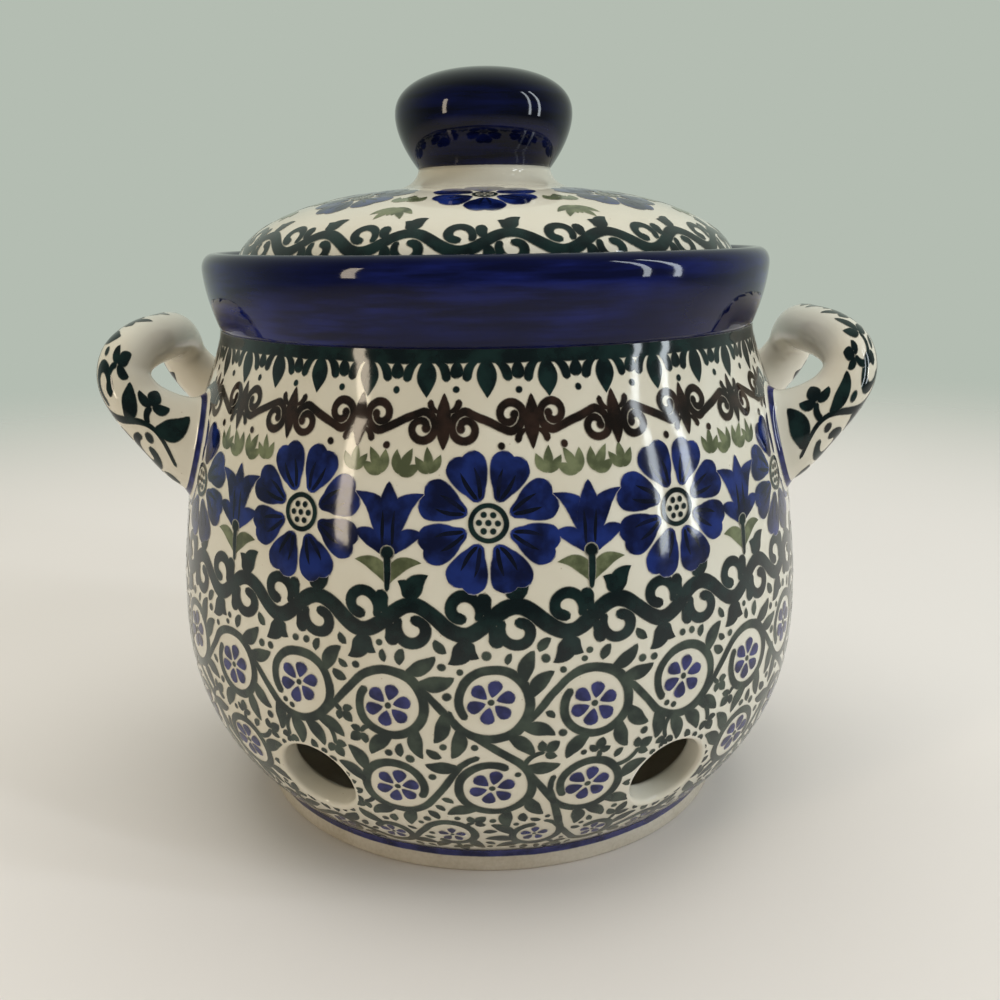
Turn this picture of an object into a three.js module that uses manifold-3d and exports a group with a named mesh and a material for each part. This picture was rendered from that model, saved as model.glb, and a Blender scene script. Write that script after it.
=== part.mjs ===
// A garlic keeper in glazed stoneware: a round-bellied jar with vents low in its wall, a flared
// collar with a seat inside for the lid, two upright loop handles, and a domed lid with a knob.
// Millimetres, +Z up. The origin is at the centre of the face that the foot ring stands on.
// The handles lie along X and the front of the jar looks along -Y.

import * as THREE from 'three';
import { mergeVertices } from 'three/addons/utils/BufferGeometryUtils.js';
import Module from 'manifold-3d';

const wasm = await Module();
wasm.setup();

// Sizes of the jar, in millimetres
const wall = 4.2;
const bellyRadius = 65;
const bellyHeight = 41;
const bellyFullness = 2.5;
const footRadius = 50.2;
const footHeight = 4.5;
const footWidth = 6.5;
const footChamfer = 0.8;
const floorThickness = 5;
const floorFillet = 6;
const neckRadius = 53.9;
const neckHeight = 97.2;

// Sizes of the collar, which flares out of the neck, and of the seat inside it
const collarFlare = 2.6;
const collarRise = 14.5;
const collarFullness = 1.7;
const lipWidth = 4.7;
const lipDrop = 2.9;
const seatDepth = 6.2;
const seatWidth = 5;
const seatThickness = 4;

// Sizes of the air vents: they are cut square to the wall
const ventRadius = 7.6;
const ventHeight = 22;
const ventCount = 6;
const ventTurn = Math.PI / 6;

// Sizes of a handle: a round bar bent into a loop, with a tall root at each end. Its reach is from
// the wall out to the bar's centre line, and its line starts a little way inside the wall.
const handleSpan = 43;
const handleStart = 5;
const handleReach = 13;
const handleRootHeight = 75;
const handleRise = 19.2;
const handleBarRadius = 4.9;
const handleRootTall = 10.8;
const handleRootWide = 6.4;

// Sizes of the lid and its knob
const lidPlay = 1.6;
const lidEdge = 1.5;
const lidRise = 17;
const lidWall = 4.5;
const lidFullness = 2.3;
const flangePlay = 1.3;
const flangeWidth = 4;
const flangeDepth = 8;
const neckFillet = 3.2;
const knobNeckRadius = 13.3;
const knobRadius = 17.6;
const knobFlareRise = 10;
const knobCrownRise = 8.7;
const knobFullness = 1.8;
const knobWall = 4.5;

// Clearances and steps
const seam = 0.3;
const overrun = 20;
const aroundSteps = 56;
const profileSteps = 7;
const crownSteps = 6;
const roundSteps = 4;
const ventSides = 28;
const barSides = 14;
const barSteps = 30;

// Places that follow from the sizes
const rimHeight = neckHeight + collarRise;
const collarRadius = neckRadius + collarFlare;
const mouthRadius = collarRadius - lipWidth;
const seatRadius = mouthRadius - seatWidth;
const seatHeight = rimHeight - seatDepth;
const lidRadius = mouthRadius - lidPlay;
const lidShoulder = seatHeight + lidEdge;
const knobSeat = lidShoulder + lidRise + neckFillet;
const boreRadius = knobNeckRadius - knobWall;

// Upper wall of the jar: [share of the way in from belly to neck, share of the way up], by hand
const shoulderShares = [
  [0, 0], [0.035, 0.15], [0.14, 0.316], [0.324, 0.55], [0.577, 0.745], [0.82, 0.87], [0.965, 0.96], [1, 1],
];

// Centre line of half a handle, root to top of the loop: [share of the half span, share of the
// reach from root to bar, share of the rise, share of the way from root section to bar section]
const loopShares = [
  [1, 0, 0, 0], [1, 0.31, 0.1, 0.3], [0.99, 0.6, 0.26, 0.7], [0.97, 0.85, 0.46, 0.92],
  [0.92, 1, 0.68, 0.99], [0.78, 1.01, 0.88, 1], [0.44, 0.96, 0.99, 1], [0, 0.93, 1.01, 1],
];

const glazes = {
  cream: { color: 0xe4dac6, roughness: 0.14, metalness: 0 },
  cobalt: { color: 0x14163f, roughness: 0.1, metalness: 0 },
  bareClay: { color: 0xd9cdb8, roughness: 0.75, metalness: 0 },
};

// A value a share of the way from one size to another
const between = (from, to, share) => from + (to - from) * share;

// Outer wall of the jar from the foot ring up to the belly
function lowerWall() {
  const points = [];
  for (let i = 0; i <= profileSteps; i++) {
    const up = i / profileSteps;
    const out = 1 - (1 - up) ** bellyFullness;
    points.push([between(footRadius, bellyRadius, out), between(footHeight, bellyHeight, up)]);
  }
  return points;
}

// Outer wall of the jar from the belly up to the neck
function upperWall() {
  const marks = shoulderShares.map(([inward, up]) => new THREE.Vector2(
    between(bellyRadius, neckRadius, inward), between(bellyHeight, neckHeight, up)));
  return new THREE.SplineCurve(marks).getPoints(profileSteps + crownSteps).map((p) => [p.x, p.y]);
}

const outerWall = [...lowerWall(), ...upperWall().slice(1)];

// Radius of the outer wall at a height
function wallRadiusAt(height) {
  const above = outerWall.findIndex(([, z]) => z >= height);
  if (above <= 0) return outerWall[Math.max(above, 0)][0];
  const [r0, z0] = outerWall[above - 1];
  const [r1, z1] = outerWall[above];
  return between(r0, r1, (height - z0) / (z1 - z0));
}

// A quarter round from one corner to another: the bulge says which axis it leaves along
function quarterRound(from, to, leavesAlongRadius) {
  const points = [];
  for (let i = 0; i <= roundSteps; i++) {
    const angle = (i / roundSteps) * Math.PI / 2;
    const [slow, fast] = [1 - Math.cos(angle), Math.sin(angle)];
    const [r, z] = leavesAlongRadius ? [fast, slow] : [slow, fast];
    points.push([between(from[0], to[0], r), between(from[1], to[1], z)]);
  }
  return points;
}

// A body turned about +Z from a closed outline of [radius, height] points
function turned(outline, steps = aroundSteps) {
  const points = outline.map(([r, z]) => new THREE.Vector2(r, z));
  if (outline[0][0] > 0) points.push(points[0].clone());
  return new THREE.LatheGeometry(points, steps).rotateX(Math.PI / 2);
}

// A geometry as a manifold-3d solid, without the flat triangles that a lathe leaves on its axis
function solidOf(geometry) {
  const bare = geometry.clone();
  bare.deleteAttribute('normal');
  bare.deleteAttribute('uv');
  const merged = mergeVertices(bare);
  const corners = merged.index.array;
  const kept = [];
  for (let i = 0; i < corners.length; i += 3) {
    const [a, b, c] = corners.slice(i, i + 3);
    if (a !== b && b !== c && c !== a) kept.push(a, b, c);
  }
  return new wasm.Manifold(new wasm.Mesh({
    numProp: 3,
    vertProperties: merged.attributes.position.array,
    triVerts: Uint32Array.from(kept),
  }));
}

function geometryOf(solid) {
  const mesh = solid.getMesh();
  const geometry = new THREE.BufferGeometry();
  geometry.setAttribute('position', new THREE.BufferAttribute(mesh.vertProperties, 3));
  geometry.setIndex(new THREE.BufferAttribute(mesh.triVerts, 1));
  geometry.computeVertexNormals();
  return geometry;
}

function piece(name, geometry, glaze) {
  const mesh = new THREE.Mesh(geometry, new THREE.MeshStandardMaterial(glazes[glaze]));
  mesh.name = name;
  return mesh;
}

// The bare ring of clay that the jar stands on, with a small chamfer all round its foot
function footRing() {
  const inner = footRadius - footWidth;
  return turned([
    [inner, footHeight], [inner, footChamfer], [inner + footChamfer, 0],
    [footRadius - footChamfer, 0], [footRadius, footChamfer], [footRadius, footHeight],
  ]);
}

// One vent's cutter: a cylinder through the wall, square to it
function ventCutter(turn) {
  const step = ventRadius / 2;
  const lean = Math.atan2(wallRadiusAt(ventHeight + step) - wallRadiusAt(ventHeight - step), 2 * step);
  const middle = wallRadiusAt(ventHeight) - wall / 2;
  const outward = new THREE.Vector3(Math.cos(lean), 0, -Math.sin(lean));
  const cutter = new THREE.CylinderGeometry(ventRadius, ventRadius, wall + overrun, ventSides);
  cutter.applyQuaternion(new THREE.Quaternion().setFromUnitVectors(new THREE.Vector3(0, 1, 0), outward));
  return cutter.translate(middle, 0, ventHeight).rotateZ(turn);
}

// The jar's thrown wall and floor, from the foot ring to the neck, with its vents
function jarBody() {
  const floorTop = footHeight + floorThickness;
  const filletTop = floorTop + floorFillet;
  const innerWall = outerWall.filter(([, z]) => z > filletTop).map(([r, z]) => [r - wall, z]);
  const cornerRadius = wallRadiusAt(filletTop) - wall;
  const corner = quarterRound([cornerRadius - floorFillet, floorTop], [cornerRadius, filletTop], true);
  let body = solidOf(turned([
    [0, footHeight], ...outerWall, ...innerWall.reverse(), ...corner.reverse(), [0, floorTop],
  ]));
  for (let i = 0; i < ventCount; i++) {
    const turn = ventTurn - Math.PI / 2 + (i * 2 * Math.PI) / ventCount;
    body = body.subtract(solidOf(ventCutter(turn)));
  }
  return geometryOf(body);
}

// The collar: flared outside, round at the lip, with the lid's seat as a step inside
function rimCollar() {
  const inner = neckRadius - wall;
  const widest = rimHeight - lipDrop;
  const lipMiddle = (collarRadius + mouthRadius) / 2;
  const flare = [];
  for (let i = 0; i <= profileSteps; i++) {
    const up = i / profileSteps;
    const out = 1 - (1 - up) ** collarFullness;
    flare.push([between(neckRadius, collarRadius, out), between(neckHeight, widest, up)]);
  }
  return turned([
    ...flare,
    ...quarterRound([collarRadius, widest], [lipMiddle, rimHeight], false).slice(1),
    ...quarterRound([lipMiddle, rimHeight], [mouthRadius, widest], true).slice(1),
    [mouthRadius, seatHeight], [seatRadius, seatHeight],
    [seatRadius, seatHeight - seatThickness], [inner, neckHeight],
  ]);
}

// Centre points and half sizes of the handle's sections, from the front root over to the back one
function loopSections() {
  const rootFace = Math.sqrt(wallRadiusAt(handleRootHeight) ** 2 - (handleSpan / 2) ** 2);
  const half = loopShares.map(([across, out, up, slim]) => ({
    at: [
      between(rootFace - handleStart, rootFace + handleReach, out),
      -across * handleSpan / 2,
      handleRootHeight + handleRise * up,
    ],
    slim,
  }));
  const back = half.slice(0, -1).reverse().map(({ at, slim }) => ({ at: [at[0], -at[1], at[2]], slim }));
  const marks = [...half, ...back];
  const path = new THREE.CatmullRomCurve3(marks.map(({ at }) => new THREE.Vector3(...at)));
  const slimness = new THREE.SplineCurve(marks.map(({ slim }, i) => new THREE.Vector2(i, slim)));
  const sections = [];
  for (let i = 0; i <= barSteps; i++) {
    const share = i / barSteps;
    const slim = THREE.MathUtils.clamp(slimness.getPoint(share).y, 0, 1);
    sections.push({
      centre: path.getPoint(share),
      along: path.getTangent(share),
      tall: between(handleRootTall, handleBarRadius, slim),
      wide: between(handleRootWide, handleBarRadius, slim),
    });
  }
  return sections;
}

// A loop handle on the +X side, its roots cut to the wall of the jar
function handle() {
  const positions = [];
  const corners = [];
  const sections = loopSections();
  const loopUp = new THREE.Vector3(-handleRise, 0, handleReach + handleStart);
  for (const { centre, along, tall, wide } of sections) {
    const side = new THREE.Vector3().crossVectors(along, loopUp).normalize();
    const up = new THREE.Vector3().crossVectors(side, along).normalize();
    for (let j = 0; j < barSides; j++) {
      const angle = (j / barSides) * 2 * Math.PI;
      const point = centre.clone()
        .addScaledVector(side, wide * Math.cos(angle))
        .addScaledVector(up, tall * Math.sin(angle));
      positions.push(point.x, point.y, point.z);
    }
  }
  for (let i = 0; i < sections.length - 1; i++) {
    for (let j = 0; j < barSides; j++) {
      const next = (j + 1) % barSides;
      const [a, b] = [i * barSides + j, i * barSides + next];
      corners.push(a, a + barSides, b, b, a + barSides, b + barSides);
    }
  }
  const last = (sections.length - 1) * barSides;
  for (let j = 1; j < barSides - 1; j++) {
    corners.push(0, j, j + 1, last, last + j + 1, last + j);
  }
  const geometry = new THREE.BufferGeometry();
  geometry.setAttribute('position', new THREE.Float32BufferAttribute(positions, 3));
  geometry.setIndex(corners);
  const jarAndSeam = turned([
    [0, footHeight], ...outerWall.map(([r, z]) => [r + seam, z]), [0, neckHeight],
  ]);
  return geometryOf(solidOf(geometry).subtract(solidOf(jarAndSeam)));
}

// Height of the lid's outer face at a radius
function domeHeight(radius) {
  return lidShoulder + lidRise * (1 - (radius / lidRadius) ** lidFullness) ** (1 / lidFullness);
}

// The lid's dome: a shell with a flat seat under its edge, and a short neck for the knob
function lidDome() {
  const filletFoot = knobNeckRadius + 2 * neckFillet;
  const outer = [[lidRadius, seatHeight]];
  const inner = [];
  const innerEdge = seatRadius - flangePlay - flangeWidth;
  for (let i = 0; i <= crownSteps + crownSteps; i++) {
    const angle = (i / (crownSteps + crownSteps)) * Math.PI / 2;
    const radius = between(filletFoot, lidRadius, Math.cos(angle));
    outer.push([radius, domeHeight(radius)]);
  }
  const neck = quarterRound([filletFoot, domeHeight(filletFoot)], [knobNeckRadius, knobSeat], true);
  for (let i = 0; i <= crownSteps; i++) {
    const radius = between(innerEdge, boreRadius, i / crownSteps);
    const share = radius / innerEdge;
    const height = (1 - share ** lidFullness) ** (1 / lidFullness);
    inner.push([radius, seatHeight + (domeHeight(0) - lidWall - seatHeight) * height]);
  }
  return turned([...outer, ...neck.slice(1), [boreRadius, knobSeat], ...inner.reverse()]);
}

// The ring under the lid that drops into the mouth and keeps the lid from sliding off
function lidFlange() {
  const outer = seatRadius - flangePlay;
  const inner = outer - flangeWidth;
  const bottom = seatHeight - flangeDepth;
  return turned([
    [inner, seatHeight], [inner, bottom + flangeWidth / 2],
    ...quarterRound([inner, bottom + flangeWidth / 2], [(inner + outer) / 2, bottom], false).slice(1),
    ...quarterRound([(inner + outer) / 2, bottom], [outer, bottom + flangeWidth / 2], true).slice(1),
    [outer, seatHeight],
  ]);
}

// The knob: flared, with a low round crown, hollow from below so that it fires evenly
function lidKnob() {
  const widest = knobSeat + knobFlareRise;
  const outer = [];
  for (let i = 0; i <= profileSteps; i++) {
    const up = i / profileSteps;
    const out = 1 - (1 - up) ** knobFullness;
    outer.push([between(knobNeckRadius, knobRadius, out), between(knobSeat, widest, up)]);
  }
  for (let i = 1; i <= crownSteps; i++) {
    const angle = (i / crownSteps) * Math.PI / 2;
    const radius = knobRadius * Math.cos(angle);
    const up = (1 - (radius / knobRadius) ** lidFullness) ** (1 / lidFullness);
    outer.push([i === crownSteps ? 0 : radius, widest + knobCrownRise * up]);
  }
  const boreTop = widest + knobCrownRise - knobWall;
  const bore = quarterRound([boreRadius, widest - knobWall], [0, boreTop], false);
  return turned([[boreRadius, knobSeat], ...outer, ...bore.reverse()]);
}

const keeper = new THREE.Group();
const jar = new THREE.Group();
const lid = new THREE.Group();

jar.add(piece('foot_ring', footRing(), 'bareClay'));
jar.add(piece('jar_body', jarBody(), 'cream'));
jar.add(piece('rim_collar', rimCollar(), 'cobalt'));
const rightHandle = piece('right_handle', handle(), 'cream');
const leftHandle = piece('left_handle', handle(), 'cream');
leftHandle.rotation.z = Math.PI;
jar.add(rightHandle, leftHandle);

lid.add(piece('lid_dome', lidDome(), 'cream'));
lid.add(piece('lid_flange', lidFlange(), 'cream'));
lid.add(piece('lid_knob', lidKnob(), 'cobalt'));

keeper.add(jar, lid);

export default keeper;
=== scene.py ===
# A garlic keeper in glazed stoneware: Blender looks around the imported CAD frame. Metres, +Z up.
# Drawings for the paint are flat, in millimetres: u runs round the pot, s runs up its wall.
import bpy
import bmesh
import math
import random
import numpy as np
from mathutils import Matrix, Vector


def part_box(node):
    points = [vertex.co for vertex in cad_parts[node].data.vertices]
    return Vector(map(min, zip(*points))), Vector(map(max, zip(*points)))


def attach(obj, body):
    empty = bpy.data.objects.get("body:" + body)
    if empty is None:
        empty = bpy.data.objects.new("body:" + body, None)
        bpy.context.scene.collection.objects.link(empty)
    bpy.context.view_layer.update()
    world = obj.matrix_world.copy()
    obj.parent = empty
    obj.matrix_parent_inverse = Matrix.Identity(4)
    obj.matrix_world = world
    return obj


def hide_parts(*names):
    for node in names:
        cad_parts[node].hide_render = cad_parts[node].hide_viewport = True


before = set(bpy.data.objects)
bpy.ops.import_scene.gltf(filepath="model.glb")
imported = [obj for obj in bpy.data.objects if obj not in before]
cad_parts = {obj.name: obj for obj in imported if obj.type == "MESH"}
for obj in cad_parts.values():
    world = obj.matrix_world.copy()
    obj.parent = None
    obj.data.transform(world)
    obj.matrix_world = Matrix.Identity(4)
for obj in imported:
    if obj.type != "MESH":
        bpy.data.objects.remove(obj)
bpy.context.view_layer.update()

mm = 0.001
fullTurn = 2 * math.pi
quarterTurn = math.pi / 2
closingGap, weldGap = 0.001 * mm, 0.002 * mm
random.seed(11)

counts = {
    # steps round the pot, fewer for what is small or hidden, and points along each curve
    "round": 192, "roundFew": 128, "belly": 60, "smooth": 12, "floorFillet": 6, "flare": 16, "lip": 7,
    "dome": 48, "domeUnder": 20, "neck": 8, "knobFlare": 22, "knobTop": 24, "bore": 8, "skirt": 8,
    "dot": 13, "ring": 44, "wave": 30, "stem": 90,
}

# Measures taken from the frame, in millimetres
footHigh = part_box("foot_ring")[1] / mm
bodyLow, bodyHigh = (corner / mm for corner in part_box("jar_body"))
collarLow, collarHigh = (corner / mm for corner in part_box("rim_collar"))
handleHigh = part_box("right_handle")[1] / mm
domeLow, domeHigh = (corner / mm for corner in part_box("lid_dome"))
ringLow, ringHigh = (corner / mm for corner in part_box("lid_flange"))
knobLow, knobHigh = (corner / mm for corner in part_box("lid_knob"))


# Curves and outlines

def between(start, end, share):
    return start + (end - start) * share


def smoothLine(points, steps):
    # A Catmull-Rom curve through points, with an even number of steps between each two
    marks = np.array(points, float)
    padded = np.vstack([2 * marks[0] - marks[1], marks, 2 * marks[-1] - marks[-2]])
    line = []
    for i in range(len(marks) - 1):
        a, b, c, d = padded[i:i + 4]
        for t in np.arange(steps) / steps:
            line.append(0.5 * (2 * b + (c - a) * t + (2 * a - 5 * b + 4 * c - d) * t ** 2
                               + (3 * b - a - 3 * c + d) * t ** 3))
    return np.array(line + [marks[-1]])


def lengthsAlong(line):
    return np.concatenate([[0], np.cumsum(np.linalg.norm(np.diff(line, axis=0), axis=1))])


def unitRows(vectors):
    return vectors / np.linalg.norm(vectors, axis=1)[:, None]


def sampledAt(marks, run, line):
    # Points of a line at given lengths along it
    return np.stack([np.interp(marks, run, line[:, k]) for k in range(line.shape[1])], 1)


def evenLine(line, gap):
    # The same line with its points about one gap apart
    run = lengthsAlong(line)
    return sampledAt(np.linspace(0, run[-1], max(3, int(round(run[-1] / gap)) + 1)), run, line)


def quarterRound(start, end, leavesAlongRadius, steps=5):
    points = []
    for angle in np.linspace(0, quarterTurn, steps + 1):
        slow, fast = 1 - math.cos(angle), math.sin(angle)
        r, z = (fast, slow) if leavesAlongRadius else (slow, fast)
        points.append((between(start[0], end[0], r), between(start[1], end[1], z)))
    return points


def bowShare(share, fullness):
    # How high a bow still stands at a share of the way out from its middle
    return (1 - share ** fullness) ** (1 / fullness)


def flareLine(start, end, fullness, steps):
    # Bulges outwards from start up to end
    return [(between(start[0], end[0], 1 - (1 - up) ** fullness), between(start[1], end[1], up))
            for up in np.linspace(0, 1, steps)]


def onCircle(turns):
    return np.stack([np.cos(turns), np.sin(turns)], 1)


def spiral(centre, outerRadius, innerRadius, startAngle, turns, gap=0.4):
    # Winds inwards from startAngle; negative turns wind clockwise
    share = np.linspace(0, 1, max(8, int(abs(turns) * fullTurn * outerRadius / gap)))
    radius = between(outerRadius, innerRadius, share)
    return np.array(centre) + radius[:, None] * onCircle(startAngle + turns * fullTurn * share)


def heading(turn):
    return np.array([math.cos(turn), math.sin(turn)])


def bentLine(start, end, bulge, steps=8):
    # From start to end, bulging to the left by a share of its length
    start, end = np.array(start, float), np.array(end, float)
    reach = end - start
    left = np.array([-reach[1], reach[0]])
    t = np.linspace(0, 1, steps + 1)[:, None]
    return start + reach * t + left * bulge * 4 * t * (1 - t)


# Profiles of the pot and its lid: [radius, height] in millimetres

jarShape = {
    "bellyRadius": bodyHigh.x,
    "bellyHeight": 41,
    "bellyFullness": 2.5,
    "footRadius": footHigh.x,
    "neckFlare": 2.6,
    "shoulderShares": [(0, 0), (0.035, 0.15), (0.14, 0.316), (0.324, 0.55),
                       (0.577, 0.745), (0.82, 0.87), (0.965, 0.96), (1, 1)],
    "wall": 4.2,
    "floorThickness": 5,
    "floorFillet": 6,
    "floorInset": 0.05,
    "ventRadius": 7.6,
    "ventHeight": 22,
    "ventCount": 6,
    "ventEdge": 0.9,
    "wallGap": 0.4,  # from point to point up the profile
}


def outerWall():
    jar = jarShape
    neckRadius = collarHigh.x - jar["neckFlare"]
    lower = flareLine((jar["footRadius"], bodyLow.z), (jar["bellyRadius"], jar["bellyHeight"]),
                      jar["bellyFullness"], counts["belly"])
    marks = [(between(jar["bellyRadius"], neckRadius, inward), between(jar["bellyHeight"], bodyHigh.z, up))
             for inward, up in jar["shoulderShares"]]
    shoulder = smoothLine(marks, counts["smooth"])
    return evenLine(np.vstack([lower, shoulder[1:]]), jar["wallGap"])


wallLine = outerWall()
wallRun = lengthsAlong(wallLine)


def wallRadiusAt(height):
    return np.interp(height, wallLine[:, 1], wallLine[:, 0])


ventRun = float(np.interp(jarShape["ventHeight"], wallLine[:, 1], wallRun))
girth = fullTurn * float(wallRadiusAt(jarShape["ventHeight"]))  # one turn in the drawings' u
ventPitch = girth / jarShape["ventCount"]


# Geometry Nodes trees

def nodeTree(name, inputs):
    # inputs: (name, socket type, default or None)
    tree = bpy.data.node_groups.new(name, "GeometryNodeTree")
    tree.interface.new_socket("Geometry", in_out="INPUT", socket_type="NodeSocketGeometry")
    for label, kind, default in inputs:
        socket = tree.interface.new_socket(label, in_out="INPUT", socket_type=kind)
        if default is not None:
            socket.default_value = default
    tree.interface.new_socket("Geometry", in_out="OUTPUT", socket_type="NodeSocketGeometry")
    return tree, tree.nodes.new("NodeGroupInput").outputs, tree.nodes.new("NodeGroupOutput").inputs[0]


def fillSocket(tree, socket, value):
    if isinstance(value, bpy.types.NodeSocket):
        tree.links.new(value, socket)
    else:
        socket.default_value = value


def addNode(tree, kind, settings=None, **inputs):
    # Inputs are given by name with underscores for spaces, or by place as in_0, in_1
    node = tree.nodes.new(kind)
    for key, value in (settings or {}).items():
        setattr(node, key, value)
    for key, value in inputs.items():
        place = int(key[3:]) if key.startswith("in_") else key.replace("_", " ")
        fillSocket(tree, node.inputs[place], value)
    return node


def byPlace(values):
    return {f"in_{i}": value for i, value in enumerate(values)}


def maths(tree, operation, *values):
    return addNode(tree, "ShaderNodeMath", {"operation": operation}, **byPlace(values)).outputs[0]


def vectorMaths(tree, operation, *values, **named):
    node = addNode(tree, "ShaderNodeVectorMath", {"operation": operation}, **byPlace(values), **named)
    return node.outputs[0]


def product(tree, first, second):
    return maths(tree, "MULTIPLY", first, second)


def joinXyz(tree, **parts):
    return addNode(tree, "ShaderNodeCombineXYZ", **parts).outputs[0]


def splitXyz(tree, vector):
    return addNode(tree, "ShaderNodeSeparateXYZ", in_0=vector).outputs


def readPlace(tree):
    return addNode(tree, "GeometryNodeInputPosition").outputs[0]


def geometryOf(tree, thing):
    return addNode(tree, "GeometryNodeObjectInfo", in_0=thing).outputs["Geometry"]


def turnedAboutZ(tree, vector, angle):
    return addNode(tree, "ShaderNodeVectorRotate", {"rotation_type": "Z_AXIS"}, Vector=vector,
                   Angle=angle).outputs[0]


def movedTo(tree, geometry, place):
    return addNode(tree, "GeometryNodeSetPosition", Geometry=geometry, Position=place).outputs[0]


def shiftedBy(tree, geometry, offset, **chosen):
    return addNode(tree, "GeometryNodeSetPosition", Geometry=geometry, Offset=offset, **chosen).outputs[0]


def raisedAlong(tree, place, normal, lift):
    return vectorMaths(tree, "MULTIPLY_ADD", normal, joinXyz(tree, X=lift, Y=lift, Z=lift), place)


def setOnGlaze(tree, drawing, place, normal):
    # Moves a drawing to its place and keeps the glaze's normal there for its shading
    marked = addNode(tree, "GeometryNodeStoreNamedAttribute", {"data_type": "FLOAT_VECTOR"},
                     Geometry=drawing, Name="glazeNormal", Value=normal).outputs[0]
    return movedTo(tree, marked, place)


def finishTree(tree, geometry, finish, result):
    smooth = addNode(tree, "GeometryNodeSetShadeSmooth", Geometry=geometry).outputs[0]
    real = addNode(tree, "GeometryNodeRealizeInstances", Geometry=smooth).outputs[0]
    finished = addNode(tree, "GeometryNodeSetMaterial", Geometry=real, Material=finish).outputs[0]
    tree.links.new(finished, result)
    return tree


def wheelGroup():
    # Lays a flat drawing round a profile: x becomes the turn, y the run up the profile, z the lift
    tree, given, result = nodeTree("onTheWheel", [
        ("Profile", "NodeSocketObject", None), ("Girth", "NodeSocketFloat", girth * mm),
        ("Lift", "NodeSocketFloat", 0.0)])
    flat = splitXyz(tree, readPlace(tree))
    turn = maths(tree, "MULTIPLY_ADD", maths(tree, "DIVIDE", flat[0], given["Girth"]), fullTurn, -quarterTurn)
    along = addNode(tree, "GeometryNodeSampleCurve", {"mode": "LENGTH", "use_all_curves": True},
                    Curves=geometryOf(tree, given["Profile"]), Length=flat[1]).outputs
    slope = splitXyz(tree, along["Tangent"])
    outward = joinXyz(tree, X=slope[2], Z=product(tree, slope[0], -1.0))
    raised = raisedAlong(tree, along["Position"], outward, maths(tree, "ADD", flat[2], given["Lift"]))
    placed, normal = (turnedAboutZ(tree, vector, turn) for vector in (raised, outward))
    tree.links.new(setOnGlaze(tree, given["Geometry"], placed, normal), result)
    return tree


onTheWheel = wheelGroup()
brushHand = {"waveScale": 170.0, "waveDetail": 1.0}  # how a hand strays, in waves to a metre


def copiesAlong(tree, given):
    # The drawing, repeated side by side to fill one turn
    pitch = maths(tree, "DIVIDE", given["Girth"], given["Repeats"])
    points = addNode(tree, "GeometryNodeMeshLine", {"mode": "OFFSET"}, Count=given["Repeats"],
                     Offset=joinXyz(tree, X=pitch)).outputs[0]
    copies = addNode(tree, "GeometryNodeInstanceOnPoints", Points=points, Instance=given["Geometry"])
    return addNode(tree, "GeometryNodeRealizeInstances", Geometry=copies.outputs[0]).outputs[0]


def shakenAsByHand(tree, given, whole, flat):
    # The shake is a slow noise read on the pot, so it meets itself after a turn
    turn = product(tree, maths(tree, "DIVIDE", flat[0], given["Girth"]), fullTurn)
    radius = maths(tree, "DIVIDE", given["Girth"], fullTurn)
    onPot = joinXyz(tree, X=product(tree, maths(tree, "COSINE", turn), radius),
                    Y=product(tree, maths(tree, "SINE", turn), radius), Z=flat[1])
    noise = addNode(tree, "ShaderNodeTexNoise", {"noise_dimensions": "4D"}, Vector=onPot, W=given["Seed"],
                    Scale=brushHand["waveScale"], Detail=brushHand["waveDetail"]).outputs["Color"]
    centred = vectorMaths(tree, "SUBTRACT", noise, (0.5, 0.5, 0.5))
    shaken = vectorMaths(tree, "SCALE", centred, Scale=given["Shake"])
    return shiftedBy(tree, whole, vectorMaths(tree, "MULTIPLY", shaken, (1.0, 1.0, 0.0)))


def clearOfVents(tree, given, whole, flat):
    # Faces inside a vent go, and points left inside it move out to its rim
    half = product(tree, given["Vent Pitch"], 0.5)
    across = maths(tree, "WRAP", maths(tree, "SUBTRACT", flat[0], half), half, product(tree, half, -1.0))
    rise = maths(tree, "SUBTRACT", flat[1], given["Vent Run"])
    reach = maths(tree, "SQRT", maths(tree, "ADD", product(tree, across, across), product(tree, rise, rise)))
    inside = maths(tree, "LESS_THAN", reach, given["Vent Clear"])
    kept = addNode(tree, "GeometryNodeDeleteGeometry", {"domain": "FACE"}, Geometry=whole,
                   Selection=inside).outputs[0]
    push = maths(tree, "SUBTRACT", maths(tree, "DIVIDE", given["Vent Clear"], reach), 1.0)
    outward = joinXyz(tree, X=product(tree, across, push), Y=product(tree, rise, push))
    return shiftedBy(tree, kept, outward, Selection=inside)


def paintTree():
    # Repeats a drawing round the pot, shakes it as a hand would, clears the vents and lays it on
    tree, given, result = nodeTree("paintRound", [
        ("Repeats", "NodeSocketInt", 12), ("Shake", "NodeSocketFloat", 0.0), ("Seed", "NodeSocketInt", 1),
        ("Profile", "NodeSocketObject", None), ("Girth", "NodeSocketFloat", girth * mm),
        ("Lift", "NodeSocketFloat", 0.0), ("Vent Clear", "NodeSocketFloat", 0.0),
        ("Vent Pitch", "NodeSocketFloat", ventPitch * mm), ("Vent Run", "NodeSocketFloat", ventRun * mm),
        ("Paint", "NodeSocketMaterial", None)])
    flat = splitXyz(tree, readPlace(tree))
    whole = shakenAsByHand(tree, given, copiesAlong(tree, given), flat)
    whole = clearOfVents(tree, given, whole, flat)
    wheel = addNode(tree, "GeometryNodeGroup", {"node_tree": onTheWheel}, Geometry=whole,
                    Profile=given["Profile"], Girth=given["Girth"], Lift=given["Lift"])
    return finishTree(tree, wheel.outputs[0], given["Paint"], result)


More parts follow.
